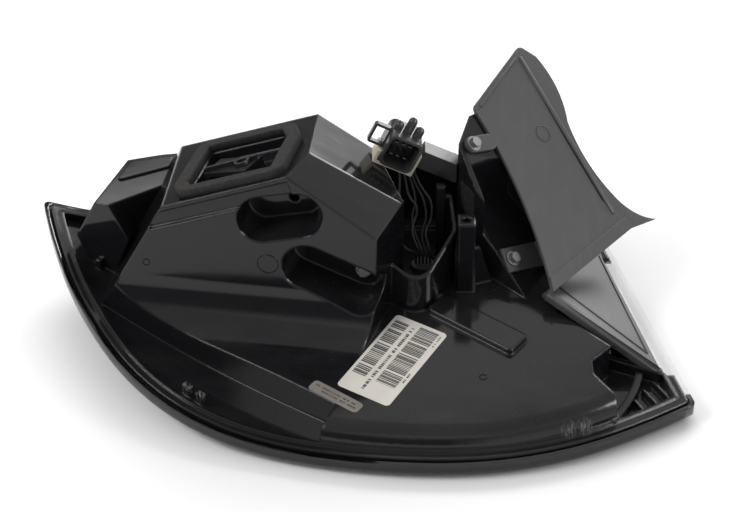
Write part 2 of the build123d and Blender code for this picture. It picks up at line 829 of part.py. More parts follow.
def window_block(place, size, depth):
    """Clear block that fills a window of the bezel and hangs in it by two side lips."""
    with BuildPart() as block:
        with BuildSketch(bezel_plane):
            with Locations(place):
                Rectangle(size[0], size[1] + 2 * UNIT_LIP)
        extrude(amount=UNIT_WALL)
        with BuildSketch(bezel_plane.offset(-BEZEL_WALL)):
            with Locations(place):
                Rectangle(*(side - 2 * WINDOW_GAP for side in size))
        extrude(amount=depth)
    return block.part


def lead_path(points):
    """Straight runs joined by the largest arcs that they leave room for."""
    radii = []
    for before, here, after in zip(points, points[1:], points[2:]):
        turn = radians((here - before).get_angle(after - here))
        radii.append(LEAD_BEND * min((here - before).length, (after - here).length) / tan(turn / 2))
    print("lead bend radii", [round(radius, 1) for radius in radii])
    return FilletPolyline(*points, radius=radii)


pocket_screw_plane = placed(front_plane, (*POCKET_SCREW, -POCKET_DEPTH))
trim_screw_planes = [placed(trim_plane, (*TAB_SCREW, 0)), placed(shelf_plane, (*FOOT_SCREW, TRIM_WALL))]
connector_plane = Plane(
    origin=(*CONNECTOR_PLACE, RIM_Z + CONNECTOR_LEVEL),
    x_dir=(cos(radians(CONNECTOR_ROLL)), 0, -sin(radians(CONNECTOR_ROLL))),
    z_dir=(0, -1, 0),
)
latch_plane = placed(plate_plane, (*LATCH_PLACE, -RECESS_DEPTH), LATCH_TURN)
grommet_plane = Plane.XY.offset(RIM_Z + WELL_FLOOR)
bezel_plane = Plane.XY.offset(RIM_Z - FLOOR_DROP - WALL)
board_plane = bezel_plane.offset(BOWL_DEPTH)
trim_floor = trim_plane.offset(-TRIM_WALL)

# Rear housing: rim, floor and raised forms, hollow towards the lens
with BuildPart() as rear_housing:
    add(rim_band(FLANGE_START, FLANGE_END, -LIP_STEP, FLANGE_TOP))
    add(rim_band(LIP_START, FLANGE_END, -FLOOR_DROP - WALL, LIP_TOP))
    add(rim_band(LIP_START, 0, -FLOOR_DROP - WALL, -FLOOR_DROP))
    add(flank_form(), mode=Mode.SUBTRACT)
    add(raised_form(0))
    with BuildSketch():
        Polygon(*STRIP, align=None)
    extrude(amount=RIM_Z + STRIP_TOP)
    add(parting_slab(-FLOOR_DROP - WALL, REACH), mode=Mode.INTERSECT)
    add(raised_form(WALL), mode=Mode.SUBTRACT)
    with BuildSketch(Plane.XY.offset(tray_height(TOWER_PLACE[1]) - WALL)):
        with Locations(TOWER_PLACE):
            RectangleRounded(*TOWER_SIZE, radius=TOWER_ROUND)
    extrude(amount=RIM_Z + TOWER_TOP - tray_height(TOWER_PLACE[1]) + WALL)
    with BuildSketch(upright_plane(TOWER_PLACE, WEDGE[2])):
        with Locations((TOWER_SIZE[0] / 2, RIM_Z)):
            Polygon(*GUSSET, align=None)
    extrude(amount=GUSSET_WALL / 2, both=True)
    with BuildSketch(grommet_plane):
        with Locations(POST_PLACE):
            Rectangle(*POST_SIZE)
    extrude(amount=POST_TOP - WELL_FLOOR)
    with BuildSketch(tray_plane):
        with Locations(Location(RAIL_PLACE, RAIL_TURN)):
            RectangleRounded(*RAIL_SIZE, radius=RAIL_ROUND)
    extrude(amount=RAIL_HEIGHT)
    with BuildSketch(Plane.XY.offset(RIM_Z - FLOOR_DROP)):
        Polygon(*WEB, align=None)
    extrude(amount=FLOOR_DROP + WEB_TOP)
    with BuildSketch(Plane.XY.offset(RIM_Z - FLOOR_DROP)):
        with BuildLine():
            ThreePointArc(*CORNER_LIP)
        trace(line_width=CORNER_LIP_WIDTH)
    extrude(amount=FLOOR_DROP + CORNER_LIP_TOP)
    with BuildSketch(Plane.XY.offset(RIM_Z - FLOOR_DROP)):
        for rib_start, rib_end in CORNER_RIBS:
            with BuildLine():
                Line(rib_start, rib_end)
            trace(line_width=RIB_WIDTH)
    extrude(amount=FLOOR_DROP + RIB_TOP)
    for x, y, turn in RIM_TABS:
        with BuildSketch(Plane.XY.offset(rim_height(x) - FLOOR_DROP)):
            with Locations(Location((x, y), turn)):
                Rectangle(*RIM_TAB_SIZE)
        extrude(amount=FLOOR_DROP + RIM_TAB_TOP)
    for plane in (pocket_screw_plane, *trim_screw_planes):
        add(screw_hole(plane), mode=Mode.SUBTRACT)
    with BuildSketch(placed(front_plane, (*POCKET_HOLE, -POCKET_DEPTH))):
        Circle(POCKET_BORE / 2)
    extrude(amount=-2 * WALL, mode=Mode.SUBTRACT)
    with BuildSketch(Plane.XY.offset(RIM_Z + TOWER_TOP)):
        with Locations(TOWER_PLACE):
            Circle(TOWER_BORE / 2)
    extrude(amount=-TOWER_BORE_DEPTH, mode=Mode.SUBTRACT)
    with BuildSketch(grommet_plane):
        with Locations(GROMMET_PLACE):
            Circle(GROMMET_NECK / 2 + GROMMET_GAP)
    extrude(amount=-2 * WALL, mode=Mode.SUBTRACT)
rear_housing.part.label = "rear_housing"
export_step(rear_housing.part, "parts/rear_housing.step")

# Outer lens: a clear tray that carries the housing on its ledge and wraps up the right flank
with BuildPart() as outer_lens:
    add(lens_form(0))
    add(lens_cavity(), mode=Mode.SUBTRACT)
    add(lens_rebate(), mode=Mode.SUBTRACT)
    add(flank_pane())
outer_lens.part.label = "outer_lens"
export_step(outer_lens.part, "parts/outer_lens.step")

# Sealant in the groove between the lens wall and the flange
with BuildPart() as lens_seal_bead:
    add(rim_band(GROOVE_START + BEAD_GAP, FLANGE_START - BEAD_GAP, -LIP_STEP, BEAD_HEIGHT - LIP_STEP))
    add(flank_form(), mode=Mode.SUBTRACT)
lens_seal_bead.part.label = "lens_seal_bead"
export_step(lens_seal_bead.part, "parts/lens_seal_bead.step")

# Foam seal ring on the sloping plate
with BuildPart() as body_seal:
    with BuildSketch(plate_plane):
        add(seal_outline(0))
        add(seal_outline(SEAL_WIDTH), mode=Mode.SUBTRACT)
    extrude(amount=SEAL_HEIGHT)
body_seal.part.label = "body_seal"
export_step(body_seal.part, "parts/body_seal.step")

# Latch arm that bridges the window inside the seal
with BuildPart() as aperture_latch:
    with BuildSketch(latch_plane):
        Rectangle(LATCH_LENGTH, LATCH_WIDTH)
    extrude(amount=RECESS_DEPTH)
    with BuildSketch(latch_plane):
        Rectangle(LATCH_LENGTH - 2 * LATCH_WALL, LATCH_WIDTH)
    extrude(amount=RECESS_DEPTH - LATCH_WALL, mode=Mode.SUBTRACT)
    with BuildSketch(latch_plane.offset(RECESS_DEPTH)):
        with Locations((LATCH_LENGTH / 4, 0)):
            Circle(LATCH_WIDTH / 4)
            Circle(LATCH_WIDTH / 6, mode=Mode.SUBTRACT)
        Rectangle(*LATCH_BAR, rotation=LATCH_BAR_TURN)
    extrude(amount=LATCH_WALL)
aperture_latch.part.label = "aperture_latch"
export_step(aperture_latch.part, "parts/aperture_latch.step")

# Gutter trim: a thin plate with a rolled near edge, a stepped flange, a screw tab, a foot, a bar and a panel
with BuildPart() as gutter_trim:
    with BuildSketch(trim_plane):
        add(trim_outline())
        with Locations((TAB_SCREW[0] + TAB_LENGTH / 2 - TAB_WIDTH / 2, TAB_SCREW[1])):
            SlotOverall(TAB_LENGTH, TAB_WIDTH)
    extrude(amount=-TRIM_WALL)
    with BuildSketch(trim_plane):
        with BuildLine():
            fold = ThreePointArc(*TRIM_FOLD)
            beyond = (TRIM_EDGE[-1][0], TRIM_FOLD[0][1])
            Polyline(fold @ 1, TRIM_FIN, TRIM_EDGE[-1], beyond, fold @ 0)
        make_face()
    extrude(amount=-FOLD_STEP, mode=Mode.SUBTRACT)
    with BuildSketch(trim_plane):
        with BuildLine():
            Line((0, 0), TRIM_FIN)
        trace(line_width=2 * ROLL_WIDTH)
        add(trim_outline(), mode=Mode.INTERSECT)
    extrude(amount=ROLL_RISE)
    with BuildSketch(trim_floor):
        with BuildLine():
            Line((0, 0), TRIM_FIN)
        trace(line_width=2 * TRIM_WALL)
        with BuildLine():
            ThreePointArc(*TRIM_EDGE[:3])
            ThreePointArc(*TRIM_EDGE[2:5])
        trace(line_width=2 * TRIM_WALL)
        add(trim_outline(), mode=Mode.INTERSECT)
    extrude(amount=-TRIM_LIP)
    with BuildSketch(shelf_plane):
        with Locations(FOOT_PLACE):
            Rectangle(*FOOT_SIZE)
    extrude(amount=TRIM_WALL)
    with BuildSketch(shelf_plane):
        with Locations((FOOT_PLACE[0] + FOOT_SIZE[0] / 2, FOOT_PLACE[1])):
            Rectangle(TRIM_WALL, FOOT_SIZE[1], align=(Align.MAX, Align.CENTER))
    extrude(amount=SHELF_DEPTH - TRIM_WALL)
    add(trim_bar())
    for plane in trim_screw_planes:
        add(screw_hole(plane), mode=Mode.SUBTRACT)
gutter_trim.part.label = "gutter_trim"
export_step(gutter_trim.part, "parts/gutter_trim.step")

with BuildPart() as trim_screws:
    for plane in trim_screw_planes:
        add(screw(plane))
trim_screws.part.label = "trim_screws"
export_step(trim_screws.part, "parts/trim_screws.step")

with BuildPart() as housing_screw:
    add(screw(pocket_screw_plane))
housing_screw.part.label = "housing_screw"
export_step(housing_screw.part, "parts/housing_screw.step")

# Plug housing with its socket, latch loop and domed posts
with BuildPart() as connector_body:
    with BuildSketch(connector_plane.offset(-CONNECTOR_DEPTH / 2)):
        RectangleRounded(CONNECTOR_SIZE, CONNECTOR_SIZE, radius=CONNECTOR_ROUND)
    extrude(amount=CONNECTOR_DEPTH)
    with BuildSketch(connector_plane.offset(CONNECTOR_DEPTH / 2)):
        RectangleRounded(
            CONNECTOR_SIZE - 2 * CONNECTOR_WALL,
            CONNECTOR_SIZE - 2 * CONNECTOR_WALL,
            radius=CONNECTOR_ROUND - CONNECTOR_WALL,
        )
    extrude(amount=-CONNECTOR_ROOM, mode=Mode.SUBTRACT)
    with BuildSketch(connector_plane):
        with Locations((-CONNECTOR_SIZE / 2 - LOOP_SIZE[0] / 2, LOOP_SIZE[1] / 4)):
            RectangleRounded(LOOP_SIZE[0] + LOOP_WALL, LOOP_SIZE[1], radius=LOOP_WALL)
            Rectangle(LOOP_SIZE[0] - LOOP_WALL, LOOP_SIZE[1] - 2 * LOOP_WALL, mode=Mode.SUBTRACT)
    extrude(amount=LOOP_DEPTH)
    for along, height in POSTS:
        with BuildSketch(connector_plane):
            with BuildLine():
                base = CONNECTOR_SIZE / 2 - CONNECTOR_WALL
                tip = CONNECTOR_SIZE / 2 + height
                Polyline((along, tip), (along, base), (along + POST_WIDTH / 2, base))
                Line((along + POST_WIDTH / 2, base), (along + POST_WIDTH / 2, tip - POST_WIDTH / 2))
                RadiusArc((along + POST_WIDTH / 2, tip - POST_WIDTH / 2), (along, tip), -POST_WIDTH / 2)
            make_face()
        revolve(axis=Axis(connector_plane.from_local_coords((along, 0, 0)), connector_plane.y_dir))
connector_body.part.label = "connector_body"
export_step(connector_body.part, "parts/connector_body.step")

with BuildPart() as connector_pins:
    with BuildSketch(connector_plane.offset(CONNECTOR_DEPTH / 2 - CONNECTOR_ROOM)):
        with GridLocations(PIN_PITCH, 2 * PIN_PITCH, PINS_PER_ROW, PIN_ROWS):
            Rectangle(*PIN_SIZE)
    extrude(amount=PIN_LENGTH)
connector_pins.part.label = "connector_pins"
export_step(connector_pins.part, "parts/connector_pins.step")

# Cradle-shaped secondary lock round the plug
half = CONNECTOR_SIZE / 2
with BuildPart() as connector_lock:
    with BuildSketch(connector_plane.offset(-LOCK_DEPTH / 2)):
        with BuildLine():
            Polyline(
                (-half, LOCK_STOP - half),
                (-half, -half),
                (half, -half),
                (half, LOCK_RISE - half),
                (half + LOCK_WALL, LOCK_RISE - half - LOCK_WALL),
                (half + LOCK_WALL, -half - LOCK_WALL),
                (-half - LOCK_WALL, -half - LOCK_WALL),
                (-half - LOCK_WALL, LOCK_STOP - half),
                close=True,
            )
        make_face()
    extrude(amount=LOCK_DEPTH)
    add(connector_body.part, mode=Mode.SUBTRACT)
connector_lock.part.label = "connector_lock"
export_step(connector_lock.part, "parts/connector_lock.step")

# Slide that holds the plug on the wedge's wall
with BuildPart() as connector_mount:
    with BuildSketch(connector_plane.offset(MOUNT_BACK)):
        with Locations((half + LOCK_WALL, 0)):
            Rectangle(CONNECTOR_REACH, MOUNT_HEIGHT, align=(Align.MIN, Align.CENTER))
    extrude(amount=MOUNT_DEPTH)
    split(bisect_by=upright_plane(WEDGE[-1], WEDGE[0]), keep=Keep.TOP)
connector_mount.part.label = "connector_mount"
export_step(connector_mount.part, "parts/connector_mount.step")

with BuildPart() as felt_strip:
    with BuildSketch(upright_plane(WEDGE[0], WEDGE[1])):
        with Locations((FELT_ALONG, RIM_Z + FELT_LEVEL)):
            Rectangle(FELT_LENGTH, FELT_HEIGHT)
    extrude(amount=FELT_WALL)
felt_strip.part.label = "felt_strip"
export_step(felt_strip.part, "parts/felt_strip.step")

with BuildPart() as wire_grommet:
    with BuildSketch(grommet_plane.offset(-2 * WALL)):
        with Locations(GROMMET_PLACE):
            Circle(GROMMET_NECK / 2)
    extrude(amount=2 * WALL)
    with BuildSketch(grommet_plane):
        with Locations(GROMMET_PLACE):
            Circle(GROMMET_FLANGE / 2)
    extrude(amount=GROMMET_HEIGHT, taper=GROMMET_TAPER)
wire_grommet.part.label = "wire_grommet"
export_step(wire_grommet.part, "parts/wire_grommet.step")

# Leads from the plug's back, down behind it and forward into the well
back_run = connector_plane.z_dir * -LEAD_RUN
for number, route in enumerate(LEAD_ROUTES):
    exit_along = LEAD_FIRST - number * LEAD_PITCH
    exit_place = connector_plane.from_local_coords((exit_along, LEAD_LEVEL, -CONNECTOR_DEPTH / 2))
    with BuildPart() as lead:
        with BuildLine():
            bends = [Vector(x, y, RIM_Z + height) for x, y, height in route]
            foot = Vector(bends[-1].X, bends[-1].Y, grommet_plane.origin.Z + GROMMET_HEIGHT)
            path = lead_path([exit_place, exit_place + back_run, *bends, foot])
        with BuildSketch(Plane(origin=path @ 0, z_dir=path % 0)):
            RegularPolygon(LEAD / 2, LEAD_SIDES)
        sweep()
    lead.part.label = f"wire_{number + 1}"
    export_step(lead.part, f"parts/wire_{number + 1}.step")

# Stickers on the tray
with BuildPart() as barcode_label:
    with BuildSketch(tray_plane):
        with Locations(Location(BARCODE_PLACE, BARCODE_TURN)):
            RectangleRounded(*BARCODE_SIZE, radius=LABEL_ROUND)
    extrude(amount=LABEL_WALL)
    add(rear_housing.part, mode=Mode.SUBTRACT)
barcode_label.part.label = "barcode_label"
export_step(barcode_label.part, "parts/barcode_label.step")

with BuildPart() as strip_label:
    with BuildSketch(tray_plane):
        with Locations(Location(STRIP_LABEL_PLACE, STRIP_LABEL_TURN)):
            RectangleRounded(*STRIP_LABEL_SIZE, radius=LABEL_ROUND)
    extrude(amount=LABEL_WALL)
strip_label.part.label = "strip_label"
export_step(strip_label.part, "parts/strip_label.step")

# Bezel behind the lens, with a window for each lamp unit
with BuildPart() as inner_bezel:
    add(rim_band(BEZEL_START, 0, -FLOOR_DROP - WALL - BEZEL_WALL, -FLOOR_DROP - WALL))
    for place, size in WINDOWS:
        with BuildSketch(bezel_plane):
            with Locations(place):
                Rectangle(*size)
        extrude(amount=-BEZEL_WALL, mode=Mode.SUBTRACT)
    add(flank_form(), mode=Mode.SUBTRACT)
inner_bezel.part.label = "inner_bezel"
export_step(inner_bezel.part, "parts/inner_bezel.step")

# Lamp units on the bezel: bowls, their boards and light sources
for name, place, size in (("stop", STOP_PLACE, STOP_SIZE), ("turn", TURN_PLACE, TURN_SIZE)):
    for kind, make in (("reflector", lamp_bowl), ("led_board", lamp_board), ("leds", led_group)):
        with BuildPart() as unit:
            add(make(place, size))
        unit.part.label = f"{name}_{kind}"
        export_step(unit.part, f"parts/{name}_{kind}.step")

# Finned sink on the stop board
with BuildPart() as heat_sink:
    with BuildSketch(board_plane.offset(BOARD_WALL)):
        with Locations(STOP_PLACE):
            Rectangle(*bowl_top(STOP_SIZE))
    extrude(amount=SINK_BASE)
    length, width = bowl_top(STOP_SIZE)
    with BuildSketch(board_plane.offset(BOARD_WALL + SINK_BASE)):
        with Locations(STOP_PLACE):
            with GridLocations(SINK_PITCH, 0, int(length // SINK_PITCH), 1):
                Rectangle(SINK_FIN / 2, width)
    extrude(amount=SINK_FIN)
heat_sink.part.label = "heat_sink"
export_step(heat_sink.part, "parts/heat_sink.step")

with BuildPart() as tail_light_guide:
    add(window_block(GUIDE_PLACE, GUIDE_SIZE, GUIDE_DEPTH))
tail_light_guide.part.label = "tail_light_guide"
export_step(tail_light_guide.part, "parts/tail_light_guide.step")

with BuildPart() as tail_led_board:
    with BuildSketch(bezel_plane):
        with Locations((GUIDE_PLACE[0] + GUIDE_SIZE[0] / 2, GUIDE_PLACE[1])):
            Rectangle(BOARD_WALL, TAIL_BOARD_SIZE[0], align=(Align.MIN, Align.CENTER))
    extrude(amount=TAIL_BOARD_SIZE[1])
tail_led_board.part.label = "tail_led_board"
export_step(tail_led_board.part, "parts/tail_led_board.step")

with BuildPart() as reflex_reflector:
    add(window_block(REFLEX_PLACE, REFLEX_SIZE, REFLEX_DEPTH))
reflex_reflector.part.label = "reflex_reflector"
export_step(reflex_reflector.part, "parts/reflex_reflector.step")
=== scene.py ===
# %% [markdown]
# # A tail light cluster, seen from its moulded back
# The lamp lies on its lens. The solids come from the CAD model and stay where they are. This lesson gives
# them their finishes, replaces the two soft pieces by softer meshes, adds a few small raised forms, and
# sets a camera, a white table and studio light.

# %% Load the frame
from math import ceil, cos, pi, radians, sin, tan

import bpy
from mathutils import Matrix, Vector
from mathutils.noise import noise as lump


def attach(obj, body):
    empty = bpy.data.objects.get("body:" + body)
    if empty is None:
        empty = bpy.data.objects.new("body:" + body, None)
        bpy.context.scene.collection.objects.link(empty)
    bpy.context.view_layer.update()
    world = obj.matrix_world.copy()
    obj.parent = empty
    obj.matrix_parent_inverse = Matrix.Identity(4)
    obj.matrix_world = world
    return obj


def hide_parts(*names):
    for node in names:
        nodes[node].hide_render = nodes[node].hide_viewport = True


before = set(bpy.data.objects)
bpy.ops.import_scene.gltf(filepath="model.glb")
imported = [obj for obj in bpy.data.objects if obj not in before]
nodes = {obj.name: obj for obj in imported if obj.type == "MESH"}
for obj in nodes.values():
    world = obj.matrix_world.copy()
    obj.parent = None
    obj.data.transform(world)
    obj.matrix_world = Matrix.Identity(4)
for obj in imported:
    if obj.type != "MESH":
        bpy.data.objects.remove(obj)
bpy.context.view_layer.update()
print("CAD nodes:", len(nodes))

# %% [markdown]
# ## Camera
# The photograph was taken from about 35 degrees above the table with a long lens, so the far side of the
# lamp looks nearly as large as the near side. A camera could be turned by three angles or follow a target
# object. Here it is put on a sphere round a point and turned to that point with a tracking quaternion,
# which needs no second object. A camera looks along its own -Z, with +Y up, and so does a lamp.

# %% Camera
ELEVATION = radians(35)
DISTANCE = 1.4
FOCAL_MM = 97.56
SENSOR_MM = 36
FAR_CLIP = 20
TARGET = Vector((0.0, 0.0, 0.059))


def in_scene(name, data):
    """An object with that data, linked to the scene."""
    thing = bpy.data.objects.new(name, data)
    bpy.context.scene.collection.objects.link(thing)
    return thing


def aim(thing, place):
    """Puts a camera or a lamp at a place and turns it to the target."""
    thing.location = place
    thing.rotation_euler = (TARGET - Vector(place)).to_track_quat("-Z", "Y").to_euler()


view = bpy.data.cameras.new("view")
view.lens = FOCAL_MM
view.sensor_width = SENSOR_MM
view.clip_end = FAR_CLIP
camera = in_scene("camera", view)
aim(camera, TARGET + DISTANCE * Vector((0, -cos(ELEVATION), sin(ELEVATION))))
bpy.context.scene.camera = camera
print("camera at", [round(value, 3) for value in camera.location])

# %% [markdown]
# ## Shader sums as Python
# Most of a finish is arithmetic on sockets, and arithmetic is easier to read as a sum than as a web of
# nodes. This class holds one socket. Adding or multiplying two of them adds a Math node, the reflected
# forms let a number stand first, and `add` makes any other node, with its settings first and then the
# values or links of its sockets.


# %% A socket that takes part in sums
class Wire:
    """One output socket of a node tree."""

    def __init__(self, tree, socket=None):
        self.tree = tree
        self.socket = socket

    def add(self, kind, settings=None, inputs=None, output=0):
        node = self.tree.nodes.new("ShaderNode" + kind)
        for name, value in (settings or {}).items():
            setattr(node, name, value)
        for name, value in (inputs or {}).items():
            if isinstance(value, Wire):
                self.tree.links.new(value.socket, node.inputs[name])
            else:
                node.inputs[name].default_value = value
        return Wire(self.tree, node.outputs[output])

    def math(self, operation, first, second=0.0, third=0.0, clamp=False):
        values = {0: first, 1: second, 2: third}
        return self.add("Math", {"operation": operation, "use_clamp": clamp}, values)

    def __add__(self, other):
        return self.math("ADD", self, other)

    def __radd__(self, other):
        return self.math("ADD", other, self)

    def __sub__(self, other):
        return self.math("SUBTRACT", self, other)

    def __rsub__(self, other):
        return self.math("SUBTRACT", other, self)

    def __mul__(self, other):
        return self.math("MULTIPLY", self, other)

    def __rmul__(self, other):
        return self.math("MULTIPLY", other, self)

    def __truediv__(self, other):
        return self.math("DIVIDE", self, other)

    def __gt__(self, other):
        return self.math("GREATER_THAN", self, other)

    def __lt__(self, other):
        return self.math("LESS_THAN", self, other)

    def clamped(self, scale=1.0, shift=0.0):
        """Scaled, shifted and held between 0 and 1."""
        return self.math("MULTIPLY_ADD", self, scale, shift, clamp=True)


print("sums ready:", Wire.__doc__)

# %% [markdown]
# ## A finish from start to end
# Every finish is one Principled shader, because its sockets stand for things that can be seen: colour,
# gloss, metal, clearness. What is the same all over is set on its socket, and what varies is linked to
# it. The finishes are kept in a table by name, so that a piece can ask for the one that it needs. The
# first is the simplest: the light guide inside is a block of clear plastic, where no wear would show.

# %% Start and close a finish
finishes = {}


def grey(value, blue=0.0):
    """A grey with a little more or less blue."""
    return (value, value, value + blue, 1.0)


def new_finish(name):
    """An empty material in the table of finishes, and the wire that its nodes start from."""
    material = bpy.data.materials.new(name)
    material.use_nodes = True
    material.node_tree.nodes.clear()
    finishes[name] = material
    print("finish:", name)
    return Wire(material.node_tree)


def close_finish(start, **sockets):
    """Adds the Principled shader and the output."""
    values = {name.replace("_", " "): value for name, value in sockets.items()}
    shader = start.add("BsdfPrincipled", inputs=values)
    output = start.tree.nodes.new("ShaderNodeOutputMaterial")
    start.tree.links.new(shader.socket, output.inputs["Surface"])


clear_block = new_finish("clear_block")
close_finish(clear_block, Base_Color=grey(0.93), Roughness=0.05, Transmission_Weight=1.0, IOR=1.49)

# %% [markdown]
# ## Noise, colour and relief
# No finish is quite even. Noise in the object's own coordinates, which are metres in the CAD frame, gives
# smears, dust, streaks and grain of a real size, with no unwrapping. A scale and a shift, held between 0
# and 1, turn its soft clouds into patches. Relief is a Bump node, which bends the light and not the mesh,
# so it serves for grain and faint ripples alone. A Bevel node below it lets a sharp CAD edge catch the
# light like a rounded one.

# %% Noise, colour and relief
EDGE_SAMPLES = 6
CLOUD = dict(detail=3.0, scale=1.8, shift=-0.4)


def place_on(start):
    """The place on the object, in metres."""
    return start.add("TexCoord", output="Object")


def noise(start, size, detail=2.0, rough=0.5, stretch=None, scale=None, shift=0.0):
    """Noise with lumps of that many metres, made into patches where a scale is given."""
    place = place_on(start)
    if stretch:
        place = start.add("Mapping", inputs={"Vector": place, "Scale": stretch})
    values = {"Vector": place, "Scale": 1.0 / size, "Detail": detail, "Roughness": rough}
    clouds = start.add("TexNoise", inputs=values)
    return clouds.clamped(scale, shift) if scale else clouds


def blend_colour(start, mask, low, high):
    """A colour between two, by a mask from 0 to 1."""
    return start.add("Mix", {"data_type": "RGBA"}, {0: mask, 6: low, 7: high}, output=2)


def relief(start, height, depth, strength, round_edges=0.0):
    """Bump from a height, over edges that look rounded to that radius."""
    values = {"Height": height, "Distance": depth, "Strength": strength}
    if round_edges:
        values["Normal"] = start.add("Bevel", {"samples": EDGE_SAMPLES}, {"Radius": round_edges})
    return start.add("Bump", inputs=values)


print("edge samples:", EDGE_SAMPLES)

# %% [markdown]
# ## Gloss black of the housing
# The housing is polished black moulding. Its base is almost black, so nearly all that shows is
# reflection. The roughness is low, with faint smears from handling. A thin veil of dust lifts what faces
# up, and the rim's clip tabs are scuffed pale. The scuffs could be painted on; spots round four places,
# torn by streaky noise, stay sharp close up.

# %% Gloss black
HOUSING_BLACK = grey(0.008, 0.0014)
DUST_GREY = grey(0.10, -0.004)
SCUFF_PALE = (0.20, 0.19, 0.175, 1)
SMEAR = dict(size=0.05, detail=4.0, rough=0.6, stretch=(1.0, 2.5, 1.0), scale=2.2, shift=-0.75)
SPECK = dict(size=0.0011, scale=9.0, shift=-6.0)
UPWARD = dict(scale=1.4, shift=-0.5)
SPECK_SHARE = 0.4
FILM_SHARE = 0.1
SCUFFED_TABS = [
    (-0.121, -0.103, 0.026), (-0.112, -0.110, 0.024), (0.130, -0.139, 0.018), (0.141, -0.136, 0.018),
]
SCUFF_RADIUS = 0.0075
SCUFF_GAIN = 1.3
TORN = dict(size=0.004, detail=3.0, rough=0.6, stretch=(3.0, 0.8, 0.8), scale=4.0, shift=-1.7)
POLISH = 0.07
SMEAR_ROUGH = 0.08
DUST_ROUGH = 0.4
SCUFF_ROUGH = 0.5
RIPPLE = dict(size=0.03, detail=1.0)
RIPPLE_SHARE = 0.2
RIPPLE_RELIEF = dict(depth=0.0003, strength=0.3, round_edges=0.0026)


def spots(start, centres, radius):
    """1 at each centre, falling to 0 at the radius."""
    total = None
    for centre in centres:
        values = {0: place_on(start), 1: centre}
        away = start.add("VectorMath", {"operation": "DISTANCE"}, values, output="Value")
        spot = away.clamped(-1.0 / radius, 1.0)
        total = spot if total is None else start.math("MAXIMUM", total, spot)
    return total


def gloss_black():
    """Polished moulding with smears, dust and scuffed tabs."""
    start = new_finish("gloss_black")
    smear = noise(start, **SMEAR)
    facing = start.add("NewGeometry", output="Normal")
    up = start.add("SeparateXYZ", inputs={"Vector": facing}, output="Z").clamped(**UPWARD)
    dust = (noise(start, **SPECK) * up * SPECK_SHARE + smear * up * FILM_SHARE).clamped()
    scuff = (spots(start, SCUFFED_TABS, SCUFF_RADIUS) * SCUFF_GAIN * noise(start, **TORN)).clamped()
    veiled = blend_colour(start, dust, HOUSING_BLACK, DUST_GREY)
    close_finish(
        start,
        Base_Color=blend_colour(start, scuff, veiled, SCUFF_PALE),
        Roughness=smear * SMEAR_ROUGH + dust * DUST_ROUGH + scuff * SCUFF_ROUGH + POLISH,
        Normal=relief(start, noise(start, **RIPPLE) * RIPPLE_SHARE, **RIPPLE_RELIEF),
        IOR=1.43,
    )


gloss_black()

# %% [markdown]
# ## Lens
# The lens is moulded in two shots: smoked dark along its rim, and clear up the right flank, where the
# white table shows through. Two materials would need the mesh cut in two, so one material holds both, and
# a mask picks the clear part: a band along the right edge in plan, from the near corner backwards.

# %% Lens
SMOKE = (0.020, 0.017, 0.018, 1)
CLEAR = (0.90, 0.90, 0.91, 1)
EDGE_POINT = Vector((0.219, -0.108, 0.0))
EDGE_OUTWARD = Vector((0.977, 0.215, 0.0))
EDGE_BAND = 0.016
BAND_START = Vector((0.0, -0.097, 0.0))
BACKWARD = Vector((0, 1, 0))
MASK_SHARPNESS = 800.0
CLEAR_SHARE = 0.8
LENS_SMEAR = dict(size=0.03, detail=3.0, scale=2.0, shift=-0.7)
LENS_POLISH = 0.06


def reach_along(start, middle, axis):
    """Signed distance from a point along a direction."""
    values = {0: place_on(start), 1: tuple(axis)}
    reach = start.add("VectorMath", {"operation": "DOT_PRODUCT"}, values, output="Value")
    return reach - middle.dot(axis)


def two_shot_lens():
    """Smoked plastic with a clear band."""
    start = new_finish("two_shot_lens")
    band = (reach_along(start, EDGE_POINT, EDGE_OUTWARD) + EDGE_BAND).clamped(MASK_SHARPNESS)
    clear = band * reach_along(start, BAND_START, BACKWARD).clamped(MASK_SHARPNESS)
    close_finish(
        start,
        Base_Color=blend_colour(start, clear, SMOKE, CLEAR),
        Roughness=noise(start, **LENS_SMEAR) * LENS_POLISH + LENS_POLISH,
        Alpha=1 - clear * CLEAR_SHARE,
        Transmission_Weight=1.0,
        IOR=1.5,
    )


two_shot_lens()

# %% [markdown]
# ## Plain mouldings, foam and metal
# Screws, plug, leads, foam and the parts inside need no story of their own. One function covers them all:
# a base colour with a slow drift, a roughness that follows a finer grain, and that grain in relief. A
# table gives each its numbers, so that they can be compared line by line. Metal differs in its metallic
# value alone.

